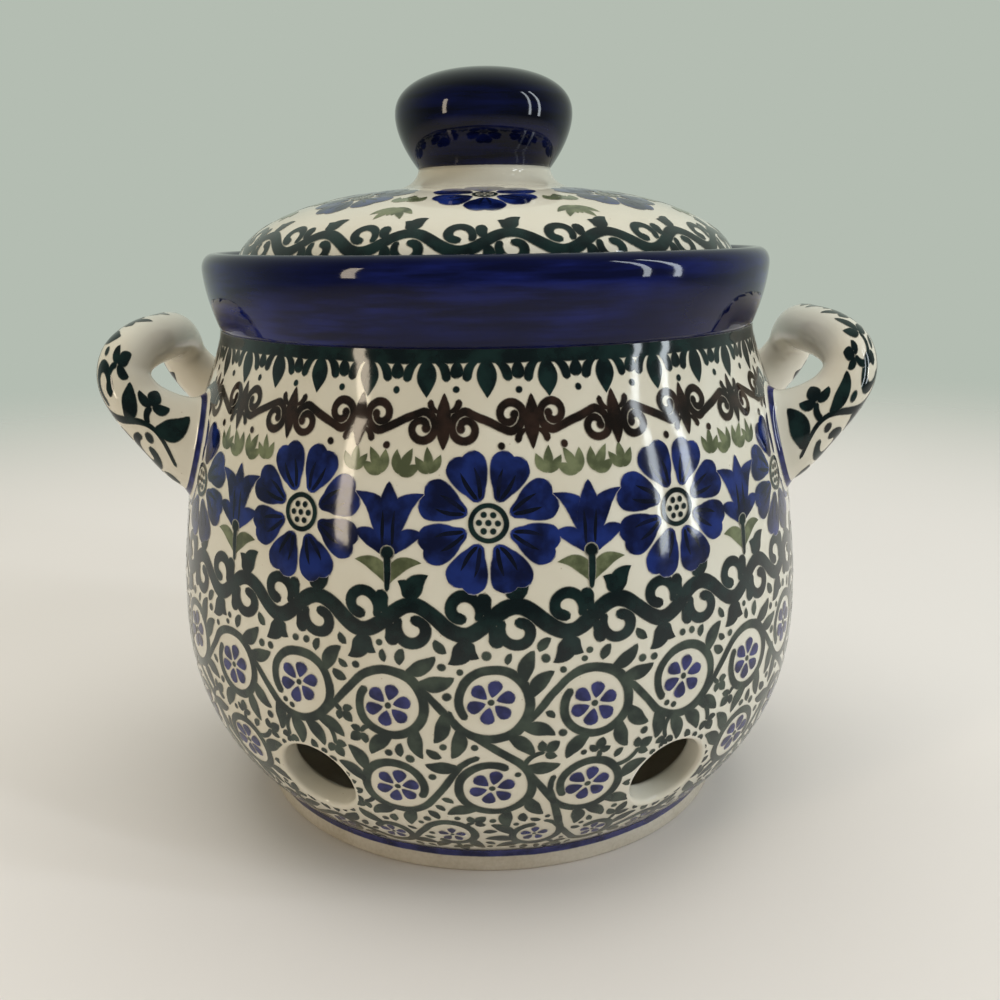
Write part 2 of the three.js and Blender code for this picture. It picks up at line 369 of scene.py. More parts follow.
def throwTree():
    # Turns a profile of points into a closed form: row by row up the profile, step by step round
    tree, given, result = nodeTree("thrownForm", [
        ("Profile", "NodeSocketObject", None), ("Steps Around", "NodeSocketInt", counts["round"]),
        ("Glaze", "NodeSocketMaterial", None)])
    profile = geometryOf(tree, given["Profile"])
    rows = addNode(tree, "GeometryNodeAttributeDomainSize", Geometry=profile).outputs["Point Count"]
    lastRow = maths(tree, "SUBTRACT", rows, 1.0)
    grid = addNode(tree, "GeometryNodeMeshGrid", Size_X=1.0, Size_Y=lastRow,
                   Vertices_X=maths(tree, "ADD", given["Steps Around"], 1.0), Vertices_Y=rows)
    flat = splitXyz(tree, readPlace(tree))
    row = maths(tree, "ROUND", maths(tree, "ADD", flat[1], product(tree, lastRow, 0.5)))
    mark = addNode(tree, "GeometryNodeSampleIndex", {"data_type": "FLOAT_VECTOR", "domain": "POINT"},
                   Geometry=profile, Value=readPlace(tree), Index=row).outputs[0]
    placed = movedTo(tree, grid.outputs[0], turnedAboutZ(tree, mark, product(tree, flat[0], fullTurn)))
    closed = addNode(tree, "GeometryNodeMergeByDistance", Geometry=placed,
                     Distance=closingGap).outputs[0]
    return finishTree(tree, closed, given["Glaze"], result)


paintRound = paintTree()
thrownForm = throwTree()


def addObject(name, data):
    thing = bpy.data.objects.new(name, data)
    bpy.context.scene.collection.objects.link(thing)
    return thing


def meshObject(name, verts, faces=(), edges=()):
    mesh = bpy.data.meshes.new(name)
    mesh.from_pydata([tuple(v) for v in verts], edges, faces)
    return addObject(name, mesh)


def profileMesh(outline):
    verts = [(r * mm, 0, z * mm) for r, z in outline]
    return meshObject("profile", verts, edges=[(i, i + 1) for i in range(len(verts) - 1)])


def profileCurve(outline):
    curve = bpy.data.curves.new("profile", "CURVE")
    curve.dimensions = "3D"
    line = curve.splines.new("POLY")
    line.points.add(len(outline) - 1)
    for point, (r, z) in zip(line.points, outline):
        point.co = (r * mm, 0, z * mm, 1)
    return addObject("profile", curve)


def runTree(thing, tree, values):
    # Sets the tree's inputs, takes its result as a plain mesh and drops the modifier
    modifier = thing.modifiers.new(tree.name, "NODES")
    modifier.node_group = tree
    sockets = {i.name: i.identifier for i in tree.interface.items_tree
               if i.item_type == "SOCKET" and i.in_out == "INPUT"}
    for label, value in values.items():
        modifier[sockets[label]] = value
    bpy.context.view_layer.update()
    seen = thing.evaluated_get(bpy.context.evaluated_depsgraph_get())
    made = bpy.data.meshes.new_from_object(seen)
    old = thing.data
    thing.modifiers.remove(modifier)
    thing.data = made
    made.name = thing.name
    bpy.data.meshes.remove(old)
    return thing


def dropHelper(thing):
    data = thing.data
    bpy.data.objects.remove(thing)
    (bpy.data.meshes if isinstance(data, bpy.types.Mesh) else bpy.data.curves).remove(data)


def finishPiece(piece, body, slot, *nodes):
    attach(piece, body)
    if nodes:
        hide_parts(*nodes)
    print("made", piece.name, len(piece.data.polygons), "faces")
    return piece


def throwPiece(name, outline, glaze, body, slot, *nodes, stepsAround=counts["round"]):
    profile = profileMesh(outline)
    piece = runTree(meshObject(name, []), thrownForm,
                    {"Profile": profile, "Steps Around": stepsAround, "Glaze": glaze})
    dropHelper(profile)
    return finishPiece(piece, body, slot, *nodes)


# Materials

# Colours are as seen, from 0 to 255 a channel; sizes and depths are in millimetres. A noise is its
# size, its detail and, where it fades, the two levels between which one tone gives way to the other.

glazeLook = {
    "roughness": 0.07, "gloss": 0.34, "blotchScale": 130.0, "blotchDetail": 3.0, "leastRough": 0.5,
    "rippleSize": 9, "rippleDepth": 0.055, "rippleDetail": 1.5, "rippleRoughness": 0.4,
    "peelSize": 1.1, "peelDepth": 0.0035, "peelDetail": 2.0,
}
creamLook = {
    "cool": (223, 217, 202), "warm": (216, 208, 190), "clouds": (22, 3.0, (0.35, 0.7)),
    "speck": (150, 122, 92), "speckGap": 3.2, "speckFade": (0.055, 0.02), "speckCover": 0.45,
}
cobaltLook = {
    # deep and bright colour of each cobalt glaze, the knob's a darker copy of the jar's as painted shade; the
    # streaks lie round the pot
    "cobaltGlaze": ((5, 9, 46), (26, 37, 112)), "knobGlaze": ((3, 5, 20), (10, 17, 62)),
    "smoother": 0.8, "gloss": 0.24, "streaks": (16, 6.0, (0.34, 0.68), (1, 1, 9)),
    # levelFade is painted shade: the upward levels of the normal between which what faces up turns to the
    # deep colour
    "clouds": (26, 2.0, (0.3, 0.75)), "levelFade": (0.95, 0.15),
}
clayLook = {
    "pale": (202, 192, 177), "dark": (174, 161, 141), "roughness": 0.42, "fade": (0.25, 0.75),
    "grain": (0.7, 4.0), "grainShare": 0.4, "stain": (12, 3.0), "stainShare": 0.5,
}
paintLook = {
    # deep and thin colour of each paint, and the size of its dabs
    "cobaltPaint": ((7, 14, 50), (27, 45, 112), 5),
    "navyPaint": ((4, 8, 26), (10, 16, 46), 3),
    "violetPaint": ((20, 25, 70), (49, 53, 112), 3),
    "deepGreenPaint": ((6, 19, 22), (20, 41, 40), 4),
    "greyGreenPaint": ((26, 38, 35), (58, 70, 60), 4),
    "olivePaint": ((78, 84, 60), (118, 124, 92), 3),
    "brownPaint": ((20, 13, 10), (48, 33, 27), 4),
}
dabLook = {
    # the dabs' noise, the noise that frays a stroke's edge, and how much glaze shows through there
    "detail": 4.0, "fade": (0.36, 0.68), "ragged": (0.5, 2.0), "raggedShare": 0.5,
    "coverFade": (0.15, 0.85), "bareShare": 0.5,
}


def linearColour(colour):
    # A colour as seen, as Blender's linear values
    def linear(value):
        value /= 255
        return value / 12.92 if value <= 0.04045 else ((value + 0.055) / 1.055) ** 2.4

    return (*map(linear, colour), 1.0)


def objectPlace(tree):
    return addNode(tree, "ShaderNodeTexCoord").outputs["Object"]


def noiseOf(tree, place, scale, detail, **more):
    node = addNode(tree, "ShaderNodeTexNoise", Vector=place, Scale=scale, Detail=detail, **more)
    return node.outputs["Fac"]


def objectNoise(tree, size, detail, stretch=(1, 1, 1)):
    stretched = addNode(tree, "ShaderNodeMapping", Vector=objectPlace(tree), Scale=stretch).outputs[0]
    return noiseOf(tree, stretched, 1 / (size * mm), detail)


def fadeBetween(tree, value, fade):
    return addNode(tree, "ShaderNodeMapRange", {"interpolation_type": "SMOOTHSTEP"}, Value=value,
                   From_Min=fade[0], From_Max=fade[1]).outputs[0]


def fadedNoise(tree, size, detail, fade, *stretch):
    return fadeBetween(tree, objectNoise(tree, size, detail, *stretch), fade)


def mixColour(tree, factor, first, second):
    # Each colour is a socket, or a colour as seen
    node = addNode(tree, "ShaderNodeMix", {"data_type": "RGBA"})
    for place, value in (("Factor", factor), ("A", first), ("B", second)):
        socket = next(s for s in node.inputs if s.name == place and s.enabled)
        fillSocket(tree, socket, linearColour(value) if isinstance(value, tuple) else value)
    return next(s for s in node.outputs if s.enabled)


def skinGroup():
    # The glaze's ripples and roughness, shared by the bare glaze and the paint under it
    tree = bpy.data.node_groups.new("glazeSkin", "ShaderNodeTree")
    look = glazeLook
    for label, value in (("Roughness", look["roughness"]),
                         ("Ripple Size", look["rippleSize"] * mm), ("Ripple Depth", look["rippleDepth"] * mm),
                         ("Peel Size", look["peelSize"] * mm), ("Peel Depth", look["peelDepth"] * mm)):
        tree.interface.new_socket(label, in_out="INPUT", socket_type="NodeSocketFloat").default_value = value
    tree.interface.new_socket("Roughness", in_out="OUTPUT", socket_type="NodeSocketFloat")
    tree.interface.new_socket("Normal", in_out="OUTPUT", socket_type="NodeSocketVector")
    given = tree.nodes.new("NodeGroupInput").outputs
    result = tree.nodes.new("NodeGroupOutput").inputs
    place = objectPlace(tree)
    ripple = noiseOf(tree, place, maths(tree, "DIVIDE", 1.0, given["Ripple Size"]), look["rippleDetail"],
                     Roughness=look["rippleRoughness"])
    peel = noiseOf(tree, place, maths(tree, "DIVIDE", 1.0, given["Peel Size"]), look["peelDetail"])
    height = maths(tree, "ADD", product(tree, ripple, given["Ripple Depth"]),
                   product(tree, peel, given["Peel Depth"]))
    bump = addNode(tree, "ShaderNodeBump", Height=height, Distance=1.0, Strength=1.0)
    blotch = noiseOf(tree, place, look["blotchScale"], look["blotchDetail"])
    rough = product(tree, given["Roughness"], maths(tree, "ADD", blotch, look["leastRough"]))
    tree.links.new(rough, result["Roughness"])
    tree.links.new(bump.outputs[0], result["Normal"])
    return tree


glazeSkin = skinGroup()


def newMaterial(name, roughness=glazeLook["roughness"], gloss=glazeLook["gloss"]):
    material = bpy.data.materials.new(name)
    material.use_nodes = True
    tree = material.node_tree
    shader = tree.nodes["Principled BSDF"].inputs
    shader["Specular IOR Level"].default_value = gloss
    skin = addNode(tree, "ShaderNodeGroup", {"node_tree": glazeSkin}, Roughness=roughness).outputs
    for label in ("Roughness", "Normal"):
        tree.links.new(skin[label], shader[label])
    return material, tree, shader["Base Color"]


def creamGlazeMaterial():
    material, tree, base = newMaterial("creamGlaze")
    body = mixColour(tree, fadedNoise(tree, *creamLook["clouds"]), creamLook["cool"], creamLook["warm"])
    # Fine iron specks, a few to a square centimetre
    apart = addNode(tree, "ShaderNodeTexVoronoi", Vector=objectPlace(tree),
                    Scale=1 / (creamLook["speckGap"] * mm)).outputs["Distance"]
    dotted = product(tree, fadeBetween(tree, apart, creamLook["speckFade"]), creamLook["speckCover"])
    tree.links.new(mixColour(tree, dotted, body, creamLook["speck"]), base)
    return material


def cobaltGlazeMaterial(name):
    look = cobaltLook
    material, tree, base = newMaterial(name, glazeLook["roughness"] * look["smoother"], look["gloss"])
    thin = product(tree, fadedNoise(tree, *look["streaks"]), fadedNoise(tree, *look["clouds"]))
    # Painted shade: what faces up is coloured darker, towards the deep colour
    facing = splitXyz(tree, addNode(tree, "ShaderNodeNewGeometry").outputs["Normal"])[2]
    bright = product(tree, thin, fadeBetween(tree, facing, look["levelFade"]))
    tree.links.new(mixColour(tree, bright, *look[name]), base)
    return material


def clayMaterial():
    look = clayLook
    material, tree, base = newMaterial("bareClay", look["roughness"])
    tone = maths(tree, "ADD", product(tree, objectNoise(tree, *look["grain"]), look["grainShare"]),
                 product(tree, objectNoise(tree, *look["stain"]), look["stainShare"]))
    tree.links.new(mixColour(tree, fadeBetween(tree, tone, look["fade"]), look["pale"], look["dark"]), base)
    return material


def paintMaterial(name):
    deep, thin, size = paintLook[name]
    material, tree, base = newMaterial(name)
    paint = mixColour(tree, fadedNoise(tree, size, dabLook["detail"], dabLook["fade"]), deep, thin)
    # The glaze shows a little where the paint thins out at a stroke's edge
    edge = addNode(tree, "ShaderNodeAttribute", {"attribute_name": "edge"}).outputs["Fac"]
    strayed = product(tree, objectNoise(tree, *dabLook["ragged"]), dabLook["raggedShare"])
    cover = fadeBetween(tree, maths(tree, "ADD", edge, strayed), dabLook["coverFade"])
    bare = mixColour(tree, dabLook["bareShare"], thin, creamLook["warm"])
    tree.links.new(mixColour(tree, cover, bare, paint), base)
    return material


creamGlaze = creamGlazeMaterial()
cobaltGlaze = cobaltGlazeMaterial("cobaltGlaze")
# Painted shade: the knob's glaze is the same cobalt glaze in darker colours
knobGlaze = cobaltGlazeMaterial("knobGlaze")
bareClay = clayMaterial()
paints = {name: paintMaterial(name) for name in paintLook}
print("materials ready")


# The jar

slabSteps = {"columns": 36, "ventCells": 14, "rings": 3, "edge": 4}


def flatSlab():
    # One panel of the wall with its vent, laid flat: outer face at 0, inner face at -wall
    jar = jarShape
    columns, cells = slabSteps["columns"], slabSteps["ventCells"]
    cell = ventPitch / columns
    blockLow, blockHigh = ventRun - cells / 2 * cell, ventRun + cells / 2 * cell
    below = np.linspace(0, blockLow, max(3, int(blockLow / cell)) + 1)
    beside = np.linspace(blockLow, blockHigh, cells + 1)
    above = np.linspace(blockHigh, wallRun[-1], int((wallRun[-1] - blockHigh) / cell) + 1)
    runs = np.concatenate([below[:-1], beside, above[1:]])
    firstRow, firstColumn = len(below) - 1, (columns - cells) // 2
    lastRow, lastColumn = firstRow + cells, firstColumn + cells
    verts, faces, index = [], [], {}

    def vert(key, place):
        if key not in index:
            index[key] = len(verts)
            verts.append(place)
        return index[key]

    def gridVert(side, row, column):
        return vert((side, row, column), (column * cell, runs[row], -jar["wall"] * side))

    for side in (0, 1):
        for row in range(len(runs) - 1):
            for column in range(columns):
                if not (firstRow <= row < lastRow and firstColumn <= column < lastColumn):
                    faces.append([gridVert(side, row + up, column + along)
                                  for up, along in ((0, 0), (0, 1), (1, 1), (1, 0))])
    for row in (0, len(runs) - 1):
        for column in range(columns):
            faces.append([gridVert(side, row, column + along)
                          for side, along in ((0, 0), (0, 1), (1, 1), (1, 0))])

    # The block's rim, point by point, and the rings that lead from it through the wall
    steps = range(cells)
    rim = [(firstRow, firstColumn + k) for k in steps] + [(firstRow + k, lastColumn) for k in steps]
    rim += [(lastRow, lastColumn - k) for k in steps] + [(lastRow - k, firstColumn) for k in steps]
    centre = np.array([ventPitch / 2, ventRun])
    wide = jar["ventRadius"] + jar["ventEdge"]
    rings = [(share, wide, 0) for share in np.arange(1, slabSteps["rings"] + 1) / slabSteps["rings"]]
    for angle in np.linspace(0, quarterTurn, slabSteps["edge"] + 1)[1:]:
        rings.append((1, wide - jar["ventEdge"] * math.sin(angle), -jar["ventEdge"] * (1 - math.cos(angle))))
    rings.append((1, jar["ventRadius"], -jar["wall"] / 2))
    rings += [(share, radius, -jar["wall"] - depth) for share, radius, depth in reversed(rings[:-1])]

    def ringVert(number, spot):
        if number == -1 or number == len(rings):
            return gridVert(0 if number == -1 else 1, *rim[spot])
        share, radius, depth = rings[number]
        corner = np.array([rim[spot][1] * cell, runs[rim[spot][0]]])
        away = corner - centre
        place = between(corner, centre + away / np.linalg.norm(away) * radius, share)
        return vert(("ring", number, spot), (*place, depth))

    for number in range(-1, len(rings)):
        for spot in range(len(rim)):
            after = (spot + 1) % len(rim)
            faces.append([ringVert(number, spot), ringVert(number, after),
                          ringVert(number + 1, after), ringVert(number + 1, spot)])
    return np.array(verts) * mm, faces


def tidyShell(thing):
    mesh = bmesh.new()
    mesh.from_mesh(thing.data)
    bmesh.ops.remove_doubles(mesh, verts=mesh.verts, dist=weldGap)
    bmesh.ops.recalc_face_normals(mesh, faces=mesh.faces)
    mesh.to_mesh(thing.data)
    mesh.free()


def dropNormals(piece):
    piece.data.attributes.remove(piece.data.attributes["glazeNormal"])


wallProfile = profileCurve(wallLine)


def jarWall():
    piece = runTree(meshObject("jar_wall", *flatSlab()), paintRound,
                    {"Repeats": jarShape["ventCount"], "Profile": wallProfile, "Paint": creamGlaze})
    tidyShell(piece)
    dropNormals(piece)
    finishPiece(piece, "jar", "cream_glaze", "jar_body")


def jarFloor():
    jar = jarShape
    under = bodyLow.z + jar["floorInset"]
    floorTop = bodyLow.z + jar["floorThickness"]
    filletTop = floorTop + jar["floorFillet"]
    inner = float(wallRadiusAt(filletTop)) - jar["wall"]
    corner = quarterRound((inner - jar["floorFillet"], floorTop), (inner, filletTop), True,
                          counts["floorFillet"])
    hidden = jar["wall"] / 2
    outline = [(0, under), (footHigh.x - hidden, under), (inner + hidden, filletTop), *reversed(corner),
               (0, floorTop)]
    throwPiece("jar_floor", outline, creamGlaze, "jar", "cream_glaze", "jar_body",
               stepsAround=counts["roundFew"])


footShape = {"ringWidth": 6.5, "arris": 0.8}


def jarFoot():
    inner = footHigh.x - footShape["ringWidth"]
    arris = footShape["arris"]
    outline = [(inner, footHigh.z), (inner, 2 * arris),
               *quarterRound((inner, arris), (inner + arris, 0), False),
               *quarterRound((footHigh.x - arris, 0), (footHigh.x, arris), True),
               (footHigh.x, 2 * arris), (footHigh.x, footHigh.z), (inner, footHigh.z)]
    throwPiece("jar_foot", outline, bareClay, "jar", "bare_clay", "foot_ring")


collarShape = {"fullness": 1.7, "lipDrop": 2.9, "lipWidth": 4.7, "seatDepth": 6.2, "seatWidth": 5,
               "seatThickness": 4, "arris": 0.6}


def jarCollar():
    collar = collarShape
    neck = float(wallLine[-1, 0])
    widest = collarHigh.z - collar["lipDrop"]
    mouth = collarHigh.x - collar["lipWidth"]
    seat = mouth - collar["seatWidth"]
    seatHeight = collarHigh.z - collar["seatDepth"]
    middle = (collarHigh.x + mouth) / 2
    arris = collar["arris"]
    flare = flareLine((neck, collarLow.z), (collarHigh.x, widest), collar["fullness"],
                      counts["flare"])
    outline = [
        *flare,
        *quarterRound((collarHigh.x, widest), (middle, collarHigh.z), False, counts["lip"])[1:],
        *quarterRound((middle, collarHigh.z), (mouth, widest), True, counts["lip"])[1:],
        *quarterRound((mouth, seatHeight + arris), (mouth - arris, seatHeight), False),
        *quarterRound((seat + arris, seatHeight), (seat, seatHeight - arris), True),
        *quarterRound((seat, seatHeight - collar["seatThickness"]),
                      (neck - jarShape["wall"], collarLow.z), False),
        flare[0],
    ]
    throwPiece("jar_collar", outline, cobaltGlaze, "jar", "cobalt_glaze", "rim_collar")


# The lid

lidShape = {"edge": 1.5, "rise": 17, "fullness": 2.3, "wall": 4.5, "neckFillet": 3.2, "neckRadius": 13.3,
            "ringWidth": 4, "arris": 0.5, "knobFlareRise": 10, "knobFullness": 1.8, "knobWall": 4.5}
lidBore = lidShape["neckRadius"] - lidShape["knobWall"]


def domeHeight(radius):
    bow = bowShare(min(radius / domeHigh.x, 1), lidShape["fullness"])
    return domeLow.z + lidShape["edge"] + lidShape["rise"] * bow


def domeOutline():
    # The lid's outer line, from its lower edge up to the knob's neck
    filletFoot = lidShape["neckRadius"] + 2 * lidShape["neckFillet"]
    arris = lidShape["arris"]
    edge = quarterRound((domeHigh.x - arris, domeLow.z), (domeHigh.x, domeLow.z + arris), True)
    radii = between(filletFoot, domeHigh.x, np.cos(np.linspace(0, quarterTurn, counts["dome"])))
    dome = [(radius, domeHeight(radius)) for radius in radii]
    neck = quarterRound(dome[-1], (lidShape["neckRadius"], domeHigh.z), True, counts["neck"])[1:]
    return [*edge, *dome, *neck]


def lidDome():
    inner = ringHigh.x - lidShape["ringWidth"]
    depth = domeHeight(0) - lidShape["wall"] - domeLow.z
    under = [(radius, domeLow.z + depth * bowShare(radius / inner, lidShape["fullness"]))
             for radius in np.linspace(inner, lidBore, counts["domeUnder"])]
    outline = [*domeOutline(), (lidBore, domeHigh.z), *reversed(under),
               (domeHigh.x - lidShape["arris"], domeLow.z)]
    throwPiece("lid_shell", outline, creamGlaze, "lid", "cream_glaze", "lid_dome")


def lidRing():
    outer, inner = ringHigh.x, ringHigh.x - lidShape["ringWidth"]
    half = lidShape["ringWidth"] / 2
    middle = inner + half
    outline = [(inner, ringHigh.z), *quarterRound((inner, ringLow.z + half), (middle, ringLow.z), False),
               *quarterRound((middle, ringLow.z), (outer, ringLow.z + half), True)[1:],
               (outer, ringHigh.z), (inner, ringHigh.z)]
    throwPiece("lid_ring", outline, creamGlaze, "lid", "cream_glaze", "lid_flange",
               stepsAround=counts["roundFew"])


def lidKnob():
    widest = knobLow.z + lidShape["knobFlareRise"]
    flare = flareLine((lidShape["neckRadius"], knobLow.z), (knobHigh.x, widest), lidShape["knobFullness"],
                      counts["knobFlare"])
    top = [(knobHigh.x * share, between(widest, knobHigh.z, bowShare(share, lidShape["fullness"])))
           for share in np.cos(np.linspace(0, quarterTurn, counts["knobTop"])[1:-1])]
    boreTop = knobHigh.z - lidShape["knobWall"]
    bore = quarterRound((lidBore, widest - lidShape["knobWall"]), (0, boreTop), False, counts["bore"])
    outline = [(0, boreTop), *reversed(bore[:-1]), (lidBore, knobLow.z), *flare, *top, (0, knobHigh.z)]
    # The knob wears the darker copy of the cobalt glaze, as painted shade
    throwPiece("lid_knob_glazed", outline, knobGlaze, "lid", "cobalt_glaze", "lid_knob")


# The handles

handleShape = {
    "span": 43,
    "startDepth": 5,
    "rootHeight": 75,
    "rise": 19.2,
    "barRadius": 4.9,
    "rootTall": 10.8,
    "rootWide": 6.4,
    # half the loop: share of the half span, of the way out, of the rise, of the way to the bar's section
    "loopShares": [(1, 0, 0, 0), (1, 0.31, 0.1, 0.3), (0.99, 0.6, 0.26, 0.7), (0.97, 0.85, 0.46, 0.92),
                   (0.92, 1, 0.68, 0.99), (0.78, 1.01, 0.88, 1), (0.44, 0.96, 0.99, 1), (0, 0.93, 1.01, 1)],
    "outermostShare": 1.02,
    "sides": 40,
    "barRound": 40,
    "gap": 0.75,
    "fillet": 2.6,
    "sunk": 0.5,
}


def handleRings():
    # Sections of the bar, one ring of points for each place along it
    bar = handleShape
    start = math.sqrt(wallRadiusAt(bar["rootHeight"]) ** 2 - (bar["span"] / 2) ** 2) - bar["startDepth"]
    end = start + (handleHigh.x - bar["barRadius"] - start) / bar["outermostShare"]
    half = [(between(start, end, out), -across * bar["span"] / 2, bar["rootHeight"] + bar["rise"] * up, slim)
            for across, out, up, slim in bar["loopShares"]]
    whole = half + [(x, -y, z, slim) for x, y, z, slim in reversed(half[:-1])]
    line = evenLine(smoothLine(whole, counts["smooth"]), bar["gap"])
    along = unitRows(np.gradient(line[:, :3], axis=0))
    side = unitRows(np.cross(along, (-bar["rise"], 0, end - start)))
    up = np.cross(side, along)
    slim = np.clip(line[:, 3], 0, 1)
    angles = np.linspace(-math.pi, math.pi, bar["sides"], endpoint=False)
    wide = between(bar["rootWide"], bar["barRadius"], slim)[:, None] * np.cos(angles)
    tall = between(bar["rootTall"], bar["barRadius"], slim)[:, None] * np.sin(angles)
    return line[:, None, :3] + side[:, None] * wide[..., None] + up[:, None] * tall[..., None], line[:, :3]


def onWall(point, sunk=0.0):
    turn = math.atan2(point[1], point[0])
    return np.array([*(float(wallRadiusAt(point[2])) - sunk) * heading(turn), point[2]])


def wallDepth(points):
    return np.hypot(points[:, 0], points[:, 1]) - wallRadiusAt(points[:, 2])


def rootSkirt(line, centreLine):
    # The start of one line along the bar, blended into the wall: from under the wall out to the bar
    fillet = handleShape["fillet"]
    first = int(np.argmax(wallDepth(line) > 0))
    before, after = wallDepth(line[first - 1:first + 1])
    crossing = between(line[first - 1], line[first], -before / (after - before))
    centre = centreLine[int(np.argmax(wallDepth(centreLine) > 0))]
    away = onWall(crossing) - onWall(centre)
    onPot = onWall(onWall(crossing) + away / np.linalg.norm(away) * fillet)
    ahead = line[first:]
    run = lengthsAlong(np.vstack([crossing, ahead]))[1:]
    trimmed = sampledAt([fillet], run, ahead)[0]
    t = np.linspace(0, 1, counts["skirt"])[:, None]
    bezier = (1 - t) ** 2 * onPot + 2 * t * (1 - t) * crossing + t ** 2 * trimmed
    return np.vstack([onWall(onPot, handleShape["sunk"]), bezier]), ahead[run > fillet]


def handleGrid():
    # Rows of points from root to root, the same count on each line along the bar
    rings, centreLine = handleRings()
    lines = []
    for side in range(handleShape["sides"]):
        startSkirt, rest = rootSkirt(rings[:, side], centreLine)
        endSkirt, back = rootSkirt(rest[::-1], centreLine[::-1])
        bar = np.vstack([startSkirt[-1], back[::-1], endSkirt[-1]])
        run = lengthsAlong(bar)
        even = sampledAt(np.linspace(0, run[-1], len(rings)), run, bar)
        lines.append(np.vstack([startSkirt, even[1:-1], endSkirt[::-1]]))
    return np.stack(lines, 1)


def sweptMesh(name, grid):
    # A closed skin over rows of points, with a place on it for each corner as a UV map in metres
    rows, sides = grid.shape[:2]
    verts = list(grid.reshape(-1, 3) * mm) + [grid[0].mean(0) * mm, grid[-1].mean(0) * mm]
    along = lengthsAlong(grid.mean(1)) * mm
    around = (np.arange(sides + 1) / sides - 0.5) * handleShape["barRound"] * mm
    faces, corners = [], []
    for i in range(rows - 1):
        for j in range(sides):
            k = (j + 1) % sides
            faces.append((i * sides + j, (i + 1) * sides + j, (i + 1) * sides + k, i * sides + k))
            corners += [(along[i], around[j]), (along[i + 1], around[j]), (along[i + 1], around[j + 1]),
                        (along[i], around[j + 1])]
    lastRow = (rows - 1) * sides
    for j in range(sides):
        k = (j + 1) % sides
        faces += [(j, k, rows * sides), (lastRow + k, lastRow + j, rows * sides + 1)]
        corners += [(-1, -1)] * 6
    piece = meshObject(name, verts, faces)
    piece.data.uv_layers.new(name="barPlace").data.foreach_set("uv", np.array(corners).ravel())
    piece.data.polygons.foreach_set("use_smooth", [True] * len(faces))
    return piece


def handles():
    right = sweptMesh("handle_right_glazed", handleGrid())
    tidyShell(right)
    right.data.materials.append(creamGlaze)
    left = addObject("handle_left_glazed", right.data.copy())
    left.data.name = left.name
    left.data.transform(Matrix.Rotation(math.pi, 4, "Z"))
    return [finishPiece(right, "jar", "cream_glaze", "right_handle"),
            finishPiece(left, "jar", "cream_glaze", "left_handle")]


jarWall()
jarFloor()
jarFoot()
jarCollar()
lidDome()
lidRing()
lidKnob()
print("jar and lid thrown")


# The paint: flat drawings in millimetres, laid round the pot by Geometry Nodes

paintStack = {
    # height over the glaze, between paints and between strokes, and how far a stroke's margin drops
    "lift": 0.045, "layer": 0.014, "stroke": 0.0006, "strokes": 17, "drop": 0.02,
    "margin": 0.3, "marginShare": 0.45, "gap": 0.45, "column": 1.3, "seed": 4,
    # share of a stroke's own height that it gains along the way, and how far its ends are rounded
    "climb": 0.7, "round": 0.96,
}
dotShares = (1, 0.55, 0.012)
leafForm, dropForm = (0.2, 0.45), (0.12, 0.8, 0.72)
up, down = quarterTurn, -quarterTurn


